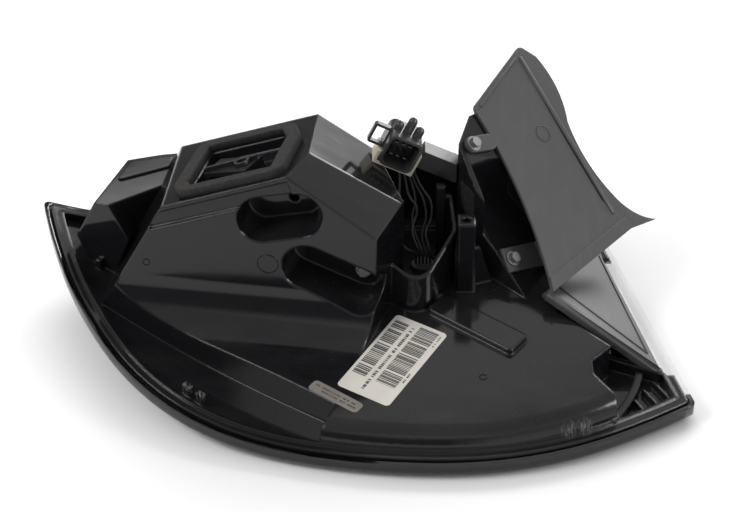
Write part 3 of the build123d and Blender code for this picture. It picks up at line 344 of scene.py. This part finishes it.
# %% Simple finishes
GRAIN_ROUGH = 0.12
GRAIN_STRENGTH = 0.6
MOULDINGS = {
    "satin_black": dict(low=grey(0.010), high=grey(0.016), rough=0.34),
    # The plug's black is lifted to a dark grey: a painted sheen that stands in for the light its top
    # reflects.
    "plug_black_painted_sheen": dict(low=grey(0.026, 0.001), high=grey(0.034, 0.001), rough=0.32),
    "plated_steel": dict(
        low=grey(0.26), high=grey(0.36), rough=0.36, grain=0.0006, depth=0.00002, metallic=1.0,
    ),
    "tinned": dict(
        low=grey(0.16), high=grey(0.22), rough=0.45, grain=0.0006, depth=0.00002, metallic=1.0,
    ),
    "lock_cream": dict(low=(0.50, 0.46, 0.36, 1), high=(0.56, 0.52, 0.41, 1), rough=0.5, depth=0.00003),
    "soft_foam": dict(
        low=(0.018, 0.017, 0.0165, 1), high=(0.038, 0.036, 0.035, 1), rough=0.95,
        depth=0.0009, drift=0.003, bend=1.3,
    ),
    "felt": dict(
        low=grey(0.008), high=grey(0.028), rough=1.0, grain=0.0007, depth=0.0012, drift=0.0025, bend=1.2,
    ),
    "soft_rubber": dict(low=grey(0.010), high=grey(0.018), rough=0.42, grain=0.001),
    "inner_black": dict(low=grey(0.008), high=grey(0.012), rough=0.3, grain=0.001, depth=0.00003),
    "silver_coat": dict(
        low=grey(0.75), high=grey(0.82), rough=0.12, grain=0.002, depth=0.00001, metallic=1.0,
    ),
    "green_board": dict(
        low=(0.01, 0.06, 0.025, 1), high=(0.015, 0.08, 0.03, 1), rough=0.4, grain=0.001, depth=0.00003,
    ),
    "yellow_resin": dict(
        low=(0.6, 0.45, 0.08, 1), high=(0.7, 0.5, 0.1, 1), rough=0.3, grain=0.001, depth=0.00002,
    ),
    "red_prism": dict(
        low=(0.25, 0.003, 0.003, 1), high=(0.3, 0.005, 0.005, 1), rough=0.15, grain=0.003, depth=0.0002,
    ),
    "plain_metal": dict(low=grey(0.55), high=grey(0.62), rough=0.4, depth=0.00003, metallic=1.0),
}


def moulded(name, low, high, rough, grain=0.0008, depth=0.00004, metallic=0.0, drift=0.02, bend=1.5):
    """A drifting colour with a grain in its gloss and in relief."""
    start = new_finish(name)
    fine = noise(start, grain)
    close_finish(
        start,
        Base_Color=blend_colour(start, noise(start, drift, **CLOUD), low, high),
        Roughness=(fine * GRAIN_ROUGH + (rough - GRAIN_ROUGH / 2)).clamped(),
        Normal=relief(start, fine, depth, GRAIN_STRENGTH),
        Metallic=metallic,
        IOR=bend,
    )


for name, row in MOULDINGS.items():
    moulded(name, **row)

# %% [markdown]
# ## Grey trim
# The gutter trim is satin grey with a fine grain, faint streaks along its length and pale rubbed places.
# Each is one layer of noise. They are blended into one colour, because a rubbed place of such plastic
# turns paler and a little glossier, and lies no deeper.

# %% Grey trim
TRIM_DARK = grey(0.046, 0.002)
TRIM_PALE = grey(0.057, 0.003)
TRIM_RUBBED = grey(0.12)
TRIM_DRIFT = 0.06
STREAK = dict(size=0.02, detail=4.0, rough=0.65, stretch=(3.0, 0.8, 0.8), scale=3.0, shift=-1.5)
STREAK_SHARE = 0.25
RUB = dict(size=0.009, detail=5.0, rough=0.7, scale=7.0, shift=-4.6)
RUB_SHARE = 0.3
RUB_GLOSS = 0.08
TRIM_GRAIN = 0.0009
TRIM_ROUGH = 0.38
GRAIN_SHARE = 0.12
TRIM_RELIEF = dict(depth=0.0003, strength=0.5, round_edges=0.0012)


def satin_trim():
    """Grained grey plastic with streaks and rubbed places."""
    start = new_finish("satin_trim")
    rub = noise(start, **RUB)
    fine = noise(start, TRIM_GRAIN)
    plain = blend_colour(start, noise(start, TRIM_DRIFT, **CLOUD), TRIM_DARK, TRIM_PALE)
    pale = (noise(start, **STREAK) * STREAK_SHARE + rub * RUB_SHARE).clamped()
    close_finish(
        start,
        Base_Color=blend_colour(start, pale, plain, TRIM_RUBBED),
        Roughness=(fine * GRAIN_ROUGH + TRIM_ROUGH - rub * RUB_GLOSS).clamped(),
        Normal=relief(start, fine * GRAIN_SHARE, **TRIM_RELIEF),
    )


satin_trim()

# %% [markdown]
# ## Stickers with generic bars
# A label is pale card with fields of bars and a few rows of short dashes, none of which can be read. A
# picture would need unwrapping. Instead, two dot products turn the place on the surface into the label's
# own length and width, and white noise decides, step by step along it, whether a bar stands there and how
# wide it is.

# %% Bars along a card
THIN_BAR = 0.45
THICK_BAR = 0.9


def within(value, low, high):
    """1 between two limits and 0 elsewhere."""
    return (value > low) * (value < high)


def random_bars(start, value, pitch, share):
    """Bars of uneven width along a value: that share of the steps of a pitch gets one."""
    place = value / pitch
    step = {"W": start.math("FLOOR", place)}
    chance = start.add("TexWhiteNoise", {"noise_dimensions": "1D"}, step, output="Value")
    width = chance * (THICK_BAR - THIN_BAR) / share + THIN_BAR
    return (chance < share) * (start.math("FRACT", place) < width)


print("bars cover", THIN_BAR, "to", THICK_BAR, "of a step")

# %% [markdown]
# ## The two labels
# Both labels lie flat on the sloping tray, each turned its own way. Their places are given on the tray,
# as in the CAD model. The paper is stained a little, and its fibre shows in the gloss.

# %% The two labels
TRAY_TILT = radians(6.2)
TRAY_ORIGIN = Vector((0.0, -0.129, 0.029))
TRAY_ALONG = Vector((1, 0, 0))
TRAY_ACROSS = Vector((0, cos(TRAY_TILT), sin(TRAY_TILT)))
CREAM_PAPER = ((0.70, 0.67, 0.61, 1), (0.60, 0.57, 0.51, 1))
WORN_PAPER = ((0.24, 0.21, 0.185, 1), (0.17, 0.15, 0.13, 1))
INK = grey(0.02)
INK_COVER = 0.95
STAIN = dict(size=0.02, detail=3.0, scale=1.6, shift=-0.45)
FIBRE = 0.0004
FIBRE_ROUGH = 0.2
PAPER_ROUGH = 0.45
FIBRE_RELIEF = dict(depth=0.00003, strength=0.5)
# A field runs from and to along the card, from and to across it, and has a pitch and a share of bars.
BARCODE_FIELDS = [
    (-0.0236, 0.0357, 0.0073, 0.0178, 0.0017, 0.9),
    (-0.0235, 0.0370, -0.0150, -0.0004, 0.0014, 0.9),
    (-0.0350, 0.0340, 0.0022, 0.0044, 0.0018, 0.8),
    (-0.0160, -0.0060, -0.0178, -0.0164, 0.0015, 0.8),
    (0.0240, 0.0360, -0.0178, -0.0164, 0.0015, 0.8),
]
STRIP_FIELDS = [
    (-0.0170, 0.0150, 0.0008, 0.0022, 0.0017, 0.8),
    (-0.0120, 0.0170, -0.0022, -0.0008, 0.0015, 0.8),
]
LABELS = {
    "bar_label": dict(centre=(0.016, 0.044), turn=radians(59), paper=CREAM_PAPER, fields=BARCODE_FIELDS),
    "strip_label": dict(centre=(-0.022, 0.009), turn=radians(-36), paper=WORN_PAPER, fields=STRIP_FIELDS),
}


def printed_card(name, centre, turn, paper, fields):
    """Card with printed fields, at a place and a turn on the tray."""
    start = new_finish(name)
    run = TRAY_ALONG * cos(turn) + TRAY_ACROSS * sin(turn)
    side = TRAY_ACROSS * cos(turn) - TRAY_ALONG * sin(turn)
    middle = TRAY_ORIGIN + TRAY_ALONG * centre[0] + TRAY_ACROSS * centre[1]
    along = reach_along(start, middle, run)
    across = reach_along(start, middle, side)
    ink = None
    for low, high, near, far, pitch, share in fields:
        bars = random_bars(start, along, pitch, share)
        field = within(along, low, high) * within(across, near, far) * bars
        ink = field if ink is None else start.math("MAXIMUM", ink, field)
    fibre = noise(start, FIBRE)
    card = blend_colour(start, noise(start, **STAIN), *paper)
    close_finish(
        start,
        Base_Color=blend_colour(start, ink * INK_COVER, card, INK),
        Roughness=fibre * FIBRE_ROUGH + PAPER_ROUGH,
        Normal=relief(start, fibre, **FIBRE_RELIEF),
    )


for name, row in LABELS.items():
    printed_card(name, **row)

# %% [markdown]
# ## Every node gets its finish
# The table pairs each finish with the CAD nodes that wear it. The foam ring and the felt are missing
# here, because meshes of their own replace them below.

# %% Finishes on the nodes
WIRE_COUNT = 5
WIRES = [f"wire_{number}" for number in range(1, WIRE_COUNT + 1)]
DRESSED = {
    "gloss_black": ["rear_housing"],
    "two_shot_lens": ["outer_lens"],
    "clear_block": ["tail_light_guide"],
    "satin_black": ["aperture_latch", "connector_mount"],
    "plug_black_painted_sheen": ["connector_body"],
    "satin_trim": ["gutter_trim"],
    "plated_steel": ["trim_screws", "housing_screw"],
    "tinned": ["connector_pins"],
    "lock_cream": ["connector_lock"],
    "soft_rubber": WIRES + ["wire_grommet", "lens_seal_bead"],
    "inner_black": ["inner_bezel"],
    "silver_coat": ["stop_reflector", "turn_reflector"],
    "green_board": ["stop_led_board", "turn_led_board", "tail_led_board"],
    "yellow_resin": ["stop_leds", "turn_leds"],
    "red_prism": ["reflex_reflector"],
    "plain_metal": ["heat_sink"],
    "bar_label": ["barcode_label"],
    "strip_label": ["strip_label"],
}

for finish, names in DRESSED.items():
    for name in names:
        nodes[name].data.materials.clear()
        nodes[name].data.materials.append(finishes[finish])
print("dressed nodes:", sum(len(names) for names in DRESSED.values()))

# %% [markdown]
# ## Soft edges
# A real moulding has no sharp edge, and the thin line of light along its edges tells its size. A small
# Bevel modifier gives that line. A CAD mesh is split at its corners, so a Weld comes first and joins
# them. The housing is left out: its short edges would hold the bevel back, and its finish rounds the
# edges instead.

# %% Soft edges
WELD_GAP = 0.00001
BEVEL_STEPS = 2
BEVEL_ANGLE = radians(28)
EDGE_SOFTNESS = {
    "outer_lens": 0.0006,
    "gutter_trim": 0.0009,
    "connector_body": 0.0005,
    "connector_lock": 0.0004,
    "connector_mount": 0.0006,
    "aperture_latch": 0.0005,
    "trim_screws": 0.0003,
    "housing_screw": 0.0003,
    **dict.fromkeys(WIRES, 0.00022),
}


def soften(piece, width):
    """Joins the split corners of a CAD mesh and rounds its sharp edges a little."""
    weld = piece.modifiers.new("weld", "WELD")
    weld.merge_threshold = WELD_GAP
    bevel = piece.modifiers.new("soft_edges", "BEVEL")
    bevel.width = width
    bevel.segments = BEVEL_STEPS
    bevel.limit_method = "ANGLE"
    bevel.angle_limit = BEVEL_ANGLE
    bevel.harden_normals = True


for name, width in EDGE_SOFTNESS.items():
    soften(nodes[name], width)
print("softened nodes:", len(EDGE_SOFTNESS))

# %% [markdown]
# ## Outline of the seal
# The foam seal and the small raised forms are all made in one way: an outline with rounded corners, and a
# section that is carried round it. A curve with a bevel could do it too, but lists of points leave each
# corner of the mesh open to a little noise, and the faces can be made to point outward with certainty.
# The seal's outline comes first, flat, with extra points on its straight runs.

# %% Outline of the seal
SEAL_CORNERS = [
    (0.013, 0.003), (0.088, 0.003), (0.088, 0.064), (0.078, 0.088), (0.006, 0.088), (0.006, 0.018),
]
SEAL_ROUND = 0.011
SEAL_STEP = 0.003


def rounded_outline(corners, radius, step):
    """Points and outward directions round a polygon with rounded corners."""
    points = [Vector(corner) for corner in corners]
    outline = []
    for before, here, after in zip(points[-1:] + points, points, points[1:] + points[:1]):
        arriving = (here - before).normalized()
        leaving = (after - here).normalized()
        turn = arriving.angle_signed(leaving)
        cut = radius * tan(abs(turn) / 2)
        start_out = Vector((arriving.y, -arriving.x))
        centre = here - arriving * cut - start_out * radius
        count = max(2, ceil(abs(turn) * radius / step))
        for index in range(count + 1):
            angle = abs(turn) * index / count
            out = Vector((start_out.x * cos(angle) - start_out.y * sin(angle),
                          start_out.x * sin(angle) + start_out.y * cos(angle)))
            outline.append((centre + out * radius, out))
    return outline


def filled_runs(outline, step):
    """Adds points on the straight runs between the corner arcs."""
    dense = []
    for (point, out), (next_point, next_out) in zip(outline, outline[1:] + outline[:1]):
        count = max(1, ceil((next_point - point).length / step))
        for index in range(count):
            share = index / count
            dense.append((point.lerp(next_point, share), out.lerp(next_out, share).normalized()))
    return dense


seal_outline = filled_runs(rounded_outline(SEAL_CORNERS, SEAL_ROUND, SEAL_STEP), SEAL_STEP)
print("seal outline points:", len(seal_outline))

# %% [markdown]
# ## Plate under the seal
# The foam seal lies on the sloping top of the housing's box. The slope could be read from the CAD mesh,
# face by face. It is worked out from the same angles as in the CAD model instead: the box stands on the
# tilted tray, is turned a little, and its top rises one way and falls the other.

# %% Plate under the seal
BOX_CORNER = Vector((-0.140, -0.034, 0.0))
BOX_YAW = radians(-8)
PLATE_HEIGHT = 0.084
PLATE_RISE = tan(radians(20.4))
PLATE_FALL = tan(radians(8))


def box_axes():
    """Directions along the box, backwards and up."""
    side = Vector((-sin(BOX_YAW), cos(BOX_YAW), 0))
    run = Vector((cos(BOX_YAW), sin(BOX_YAW), sin(BOX_YAW) * tan(TRAY_TILT))).normalized()
    up = run.cross(side).normalized()
    return run, up.cross(run), up


def plate_axes():
    """Origin and directions of the plate under the seal."""
    run, back, up = box_axes()
    ground = TRAY_ORIGIN.z + (BOX_CORNER.y - TRAY_ORIGIN.y) * tan(TRAY_TILT)
    origin = BOX_CORNER + Vector((0, 0, ground)) + up * PLATE_HEIGHT
    along = (run + up * PLATE_RISE).normalized()
    normal = along.cross(back - up * PLATE_FALL).normalized()
    return origin, along, normal.cross(along), normal


print("plate starts at", [round(value, 4) for value in plate_axes()[0]])

# %% [markdown]
# ## Foam seal
# The seal is a strip of cut foam, laid in a ring round the opening. At each step of the outline the
# points of its section move inward and up. A little noise lowers the foam, so that it looks soft and
# uneven, and never raises it, so that the ring stays within the solid that it replaces.

# %% Foam seal
SEAL_WIDTH = 0.010
SEAL_HALF = [
    (0.0, 0.0), (0.0, 0.0047), (0.00005, 0.0051), (0.0003, 0.0056), (0.0008, 0.00587), (0.0013, 0.0059),
    (0.0035, 0.0059),
]
SEAL_SECTION = SEAL_HALF + [(SEAL_WIDTH - inset, height) for inset, height in reversed(SEAL_HALF)]
FOAM_LUMP = 0.006
FOAM_DEPTH = 0.0005


def swept_faces(total, size, steps):
    """Faces between neighbouring sections round an outline, pointing outward."""
    faces = []
    for place in range(total):
        here = place * size
        after = (place + 1) % total * size
        for low in range(steps):
            high = (low + 1) % size
            faces.append((here + low, after + low, after + high, here + high))
    return faces


def new_piece(name, corners, faces, finish, smooth=True):
    """A mesh object, linked to the scene."""
    mesh = bpy.data.meshes.new(name)
    mesh.from_pydata([tuple(corner) for corner in corners], [], faces)
    mesh.validate()
    mesh.materials.append(finish)
    for face in mesh.polygons:
        face.use_smooth = smooth
    print(name, "faces:", len(mesh.polygons))
    return in_scene(name, mesh)


def seal_ring():
    """Corners and faces of the foam ring."""
    origin, along, across, normal = plate_axes()
    corners = []
    for point, out in seal_outline:
        for inset, height in SEAL_SECTION:
            flat = point - out * inset
            place = origin + along * flat.x + across * flat.y + normal * height
            if height:
                drop = FOAM_DEPTH * max(0.0, lump(place / FOAM_LUMP))
                place = place - normal * drop
            corners.append(place)
    size = len(SEAL_SECTION)
    return corners, swept_faces(len(seal_outline), size, size)


foam = new_piece("foam_seal", *seal_ring(), finishes["soft_foam"])
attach(foam, "root")
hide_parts("body_seal")

# %% [markdown]
# ## Felt tape
# A short strip of felt tape sits on the wall beside the plug. Hair would be slow and too fine to see at
# this size. So it is a thin pad with a ragged outline and a fluffy face: a grid whose front points are
# lifted by noise, closed by a flat back.

# %% Felt tape
FELT_START = Vector((0.062, 0.032, 0.0))
FELT_END = Vector((0.074, 0.006, 0.0))
FELT_MIDDLE = 0.016
FELT_LEVEL = 0.093
FELT_SIZE = (0.022, 0.026)
FELT_WALL = 0.001
FELT_GRID = (16, 18)
FELT_FRAY = 0.0007
FELT_EDGE_SHARE = 0.35
FELT_FACE_SHARE = 0.75
FELT_FLUFF_SHARE = 0.25
FLUFF_PER_METRE = 900


def felt_pad():
    """Corners and faces of the felt."""
    run = (FELT_END - FELT_START).normalized()
    out = Vector((run.y, -run.x, 0))
    up = Vector((0, 0, 1))
    middle = FELT_START + run * FELT_MIDDLE + up * FELT_LEVEL
    columns, rows = FELT_GRID
    width, height = FELT_SIZE
    back = []
    front = []
    for row in range(rows + 1):
        for column in range(columns + 1):
            place = middle + run * (column / columns - 0.5) * width + up * (row / rows - 0.5) * height
            if column in (0, columns) or row in (0, rows):
                fray = FELT_FRAY * (1 + lump(place / FELT_WALL))
                place = place + (middle - place).normalized() * fray
                lift = FELT_EDGE_SHARE
            else:
                lift = FELT_FACE_SHARE + FELT_FLUFF_SHARE * lump(place * FLUFF_PER_METRE)
            back.append(place)
            front.append(place + out * FELT_WALL * lift)
    wide = columns + 1
    count = wide * (rows + 1)
    faces = []
    for row in range(rows):
        for column in range(columns):
            low = row * wide + column
            high = low + count
            faces.append((low, low + wide, low + wide + 1, low + 1))
            faces.append((high, high + 1, high + wide + 1, high + wide))
    rim = list(range(columns)) + [columns + wide * row for row in range(rows)]
    rim += [count - 1 - column for column in range(columns)] + [wide * (rows - row) for row in range(rows)]
    for here, after in zip(rim, rim[1:] + rim[:1]):
        faces.append((here, after, after + count, here + count))
    return back + front, faces


tape = new_piece("felt_tape", *felt_pad(), finishes["felt"])
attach(tape, "root")
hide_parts("felt_strip")

# %% [markdown]
# ## Raised forms
# A few small forms stand on the mouldings. They could be drawn as relief in the finish, but relief throws
# no shadow and is gone from the side, so they are meshes. Each carries a section round an outline, as the
# seal does, and starts a little below the surface, so that no gap can show. The first is a flat pad on
# the small box's top.

# %% Pad on the small box
FORM_STEP = 0.001
UPRIGHT = Vector((0, 0, 1))
SMALL_BOX_TOP = Vector((0.0, 0.0, 0.094))
PAD_CORNERS = [(-0.1796, 0.041), (-0.1425, 0.060), (-0.141, 0.075), (-0.1715, 0.0665)]
PAD_ROUND = 0.0025
PAD_SECTION = [(0.0, -0.0003), (0.0, 0.0012), (0.0004, 0.0015)]


def raised_form(origin, normal, outline, section, capped):
    """Carries a section round an outline on a plane, and closes the top and the bottom if asked."""
    along = Vector((normal.y, -normal.x, 0)).normalized() if normal.xy.length else Vector((1, 0, 0))
    across = normal.cross(along)
    points = []
    for point, out in outline:
        for inset, height in section:
            flat = point - out * inset
            points.append(origin + along * flat.x + across * flat.y + normal * height)
    total = len(outline)
    size = len(section)
    faces = swept_faces(total, size, size - 1 if capped else size)
    if capped:
        faces.append([place * size + size - 1 for place in range(total)])
        faces.append([place * size for place in reversed(range(total))])
    return points, faces


def stand(name, form, finish, smooth=True):
    """Adds a raised form that stays with the body of the lamp."""
    piece = new_piece(name, *form, finishes[finish], smooth)
    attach(piece, "root")


pad_outline = rounded_outline(PAD_CORNERS, PAD_ROUND, FORM_STEP)
pad_form = raised_form(SMALL_BOX_TOP, UPRIGHT, pad_outline, PAD_SECTION, capped=True)
stand("box_pad", pad_form, "gloss_black", smooth=False)

# %% [markdown]
# ## Ridges and beads
# Two ridges follow the wing's edges, and two finer beads run along the trim panel and meet at its tip. A
# ridge is a strip with round ends and a domed section. Its places are given on the plane that carries it,
# along and across. The panel is parallel to the lens's clear flank, so three corners of the flank give
# its normal.

# %% Ridges and beads
FLANK_NEAR = Vector((0.129, -0.038, 0.047))
FLANK_LOW = Vector((0.206, -0.075, 0.013))
FLANK_FAR = Vector((0.177, 0.0595, 0.013))
PANEL_NORMAL = (FLANK_LOW - FLANK_NEAR).cross(FLANK_FAR - FLANK_NEAR).normalized()
PANEL_LEVEL = 0.09793
PANEL = (PANEL_NORMAL * PANEL_LEVEL, PANEL_NORMAL)
BEAD_SECTION = [(0.0, -0.0003), (0.0002, 0.0005), (0.0006, 0.0008)]
WING_NORMAL = Vector((0.545, -0.372, 0.752)).normalized()
WING_LEVEL = 0.12283
WING = (WING_NORMAL * WING_LEVEL, WING_NORMAL)
RIDGE_SECTION = [(0.0, -0.0012), (0.0002, 0.0004), (0.0006, 0.0009), (0.0012, 0.0012)]
RIDGE_ROUND_SHARE = 0.47
# A ridge has a plane, two ends, a width and a section.
RIDGES = {
    "wing_ridge": (WING, ((-0.1412, 0.0482), (-0.1666, -0.0834)), 0.0042, RIDGE_SECTION),
    "wing_border": (WING, ((-0.1621, -0.0839), (-0.0996, -0.0723)), 0.0030, RIDGE_SECTION),
    "panel_bead": (PANEL, ((0.0475, 0.0902), (0.1034, 0.1442)), 0.0018, BEAD_SECTION),
    "panel_edge": (PANEL, ((0.1036, 0.1439), (-0.0180, 0.1482)), 0.0018, BEAD_SECTION),
}


def strip_corners(ends, width):
    """Corners of a straight strip between two points, anticlockwise."""
    start, end = Vector(ends[0]), Vector(ends[1])
    run = (end - start).normalized()
    half = Vector((-run.y, run.x)) * width / 2
    return [start - half, end - half, end + half, start + half]


for name, (plane, ends, width, section) in RIDGES.items():
    ridge_outline = rounded_outline(strip_corners(ends, width), RIDGE_ROUND_SHARE * width, FORM_STEP)
    stand(name, raised_form(*plane, ridge_outline, section, capped=True), "satin_trim")

# %% [markdown]
# ## Mould rings
# The pins that push a moulding out of its tool leave thin round marks on its flats. A torus could be
# scaled for each. The same sweep is used here, on a circle, because its foot can then sink into the
# surface. The box's front leans back by its draft, and the tray slopes, so each gets its own normal.

# %% Mould rings
BOX_DRAFT = radians(3)
BOX_BACK, BOX_UP = box_axes()[1:]
FRONT_NORMAL = BOX_UP * sin(BOX_DRAFT) - BOX_BACK * cos(BOX_DRAFT)
TRAY_NORMAL = Vector((0, -sin(TRAY_TILT), cos(TRAY_TILT)))
# A ring has a centre, the normal of its flat, a radius, a finish and a slot.
RINGS = {
    "ring_front": ((-0.06821, -0.04607, 0.08480), FRONT_NORMAL, 0.0075, "gloss_black", "housing_black"),
    "ring_left": ((-0.15153, -0.03476, 0.07852), FRONT_NORMAL, 0.0028, "gloss_black", "housing_black"),
    "ring_tray": ((0.07600, -0.10201, 0.03193), TRAY_NORMAL, 0.0028, "gloss_black", "housing_black"),
    "ring_wing": ((0.12476, 0.07817, 0.11167), WING_NORMAL, 0.0065, "satin_trim", "trim_grey"),
}
RING_SECTION = [(0.0, -0.0002), (0.0001, 0.00025), (0.0004, 0.0004), (0.0007, 0.00025), (0.0008, -0.0002)]
RING_STEPS = 40


def circle(radius):
    """Points and outward directions round a circle."""
    turns = [2 * pi * step / RING_STEPS for step in range(RING_STEPS)]
    outward = [Vector((cos(turn), sin(turn))) for turn in turns]
    return [(out * radius, out) for out in outward]


for name, (centre, normal, radius, finish, slot) in RINGS.items():
    ring_form = raised_form(Vector(centre), normal, circle(radius), RING_SECTION, capped=False)
    stand(name, ring_form, finish)

# %% [markdown]
# ## Table
# The lamp lies on a white table. One large square is enough, because the world behind it is white too. It
# stays a little below full white, so that it can keep the lamp's shadow.

# %% Table
FLOOR_SIZE = 6.0

half = FLOOR_SIZE / 2
floor_corners = [(-half, -half, 0), (half, -half, 0), (half, half, 0), (-half, half, 0)]
close_finish(new_finish("white_table"), Base_Color=grey(0.93), Roughness=0.8)
new_piece("floor", floor_corners, [(0, 1, 2, 3)], finishes["white_table"])

# %% [markdown]
# ## World
# To the camera and through the clear lens the world is white, so the background stays white without more
# light on the object. In reflections it is a room: a bright ceiling, half as bright beyond an arched
# line, a lit wall at the right, and dark elsewhere. That is what gives each flat of the gloss black
# housing its own tone. A photograph of a room could be wrapped round instead, but a few sums are easier
# to tune. As a lamp the world is even and dimmer.

# %% World
FILL_LIGHT = 0.62
DARK_ROOM = 0.12
CEILING_START = 0.48
CEILING_BLEND = 0.25
CEILING_GLOW = 0.88
ARCH_TOP = 0.787
ARCH_BEND = 1.7
ARCH_BLEND = 0.006
ARCH_SHADE = 0.5
WALL_START = 0.08
WALL_BLEND = 0.25
WALL_GLOW = 1.0
WALL_FADE = 1.1


def beyond(value, edge, blend):
    """0 up to an edge, rising to 1 over a blend."""
    return value.clamped(1 / blend, -edge / blend)


def studio_world():
    """White to the camera, a room in reflections, and an even lamp."""
    world = bpy.data.worlds.new("studio")
    world.use_nodes = True
    world.node_tree.nodes.clear()
    start = Wire(world.node_tree)
    seen = start.add("LightPath", output="Is Camera Ray")
    mirrored = start.add("LightPath", output="Is Glossy Ray")
    through = start.add("LightPath", output="Is Transmission Ray")
    toward = start.add("TexCoord", output="Generated")
    right = start.add("SeparateXYZ", inputs={"Vector": toward}, output="X")
    up = start.add("SeparateXYZ", inputs={"Vector": toward}, output="Z")
    arch = beyond(up + right * right * ARCH_BEND, ARCH_TOP, ARCH_BLEND)
    ceiling = beyond(up, CEILING_START, CEILING_BLEND) * (1 - arch * ARCH_SHADE)
    wall = beyond(right, WALL_START, WALL_BLEND) * up.clamped(-WALL_FADE, 1.0)
    room = (ceiling * CEILING_GLOW + wall * WALL_GLOW).clamped(1.0, DARK_ROOM)
    plain = start.math("MAXIMUM", seen, through)
    strength = plain + (1 - plain) * (mirrored * room + (1 - mirrored) * FILL_LIGHT)
    glow = start.add("Background", inputs={"Color": grey(1.0), "Strength": strength})
    output = world.node_tree.nodes.new("ShaderNodeOutputWorld")
    world.node_tree.links.new(glow.socket, output.inputs["Surface"])
    bpy.context.scene.world = world
    print("world nodes:", len(world.node_tree.nodes))


studio_world()

# %% [markdown]
# ## Lamps
# Soft rectangles of light stand round the table, as in a small studio. The largest, at the back, throws
# the shadow and would leave a glare, so mirror-like faces don't see it. The card at the right does the
# opposite: it is there to be mirrored, and lights no matt face.

# %% Lamps
LAMPS = {
    "back_box": dict(place=(0.1, 1.3, 1.5), size=(1.6, 0.7), watts=14, mirrored=False),
    "top_box": dict(place=(-0.42, 1.15, 1.15), size=(0.8, 0.55), watts=2.9),
    "left_box": dict(place=(-1.2, -0.45, 1.2), size=(0.7, 0.6), watts=12),
    "wall_box": dict(place=(0.72, 1.3, 0.54), size=(0.7, 0.4), watts=7.0),
    "right_card": dict(place=(1.1, -0.38, 0.75), size=(0.45, 0.45), watts=12, lighting=False),
}


def soft_lamp(name, place, size, watts, mirrored=True, lighting=True):
    """A rectangle of light that faces the object."""
    lamp = bpy.data.lights.new(name, "AREA")
    lamp.shape = "RECTANGLE"
    lamp.size, lamp.size_y = size
    lamp.energy = watts
    holder = in_scene(name, lamp)
    aim(holder, place)
    holder.visible_glossy = mirrored
    holder.visible_diffuse = lighting


for name, row in LAMPS.items():
    soft_lamp(name, **row)
bpy.context.scene.view_settings.view_transform = "Standard"
print("lamps:", len(LAMPS))

# %% [markdown]
# ## Close
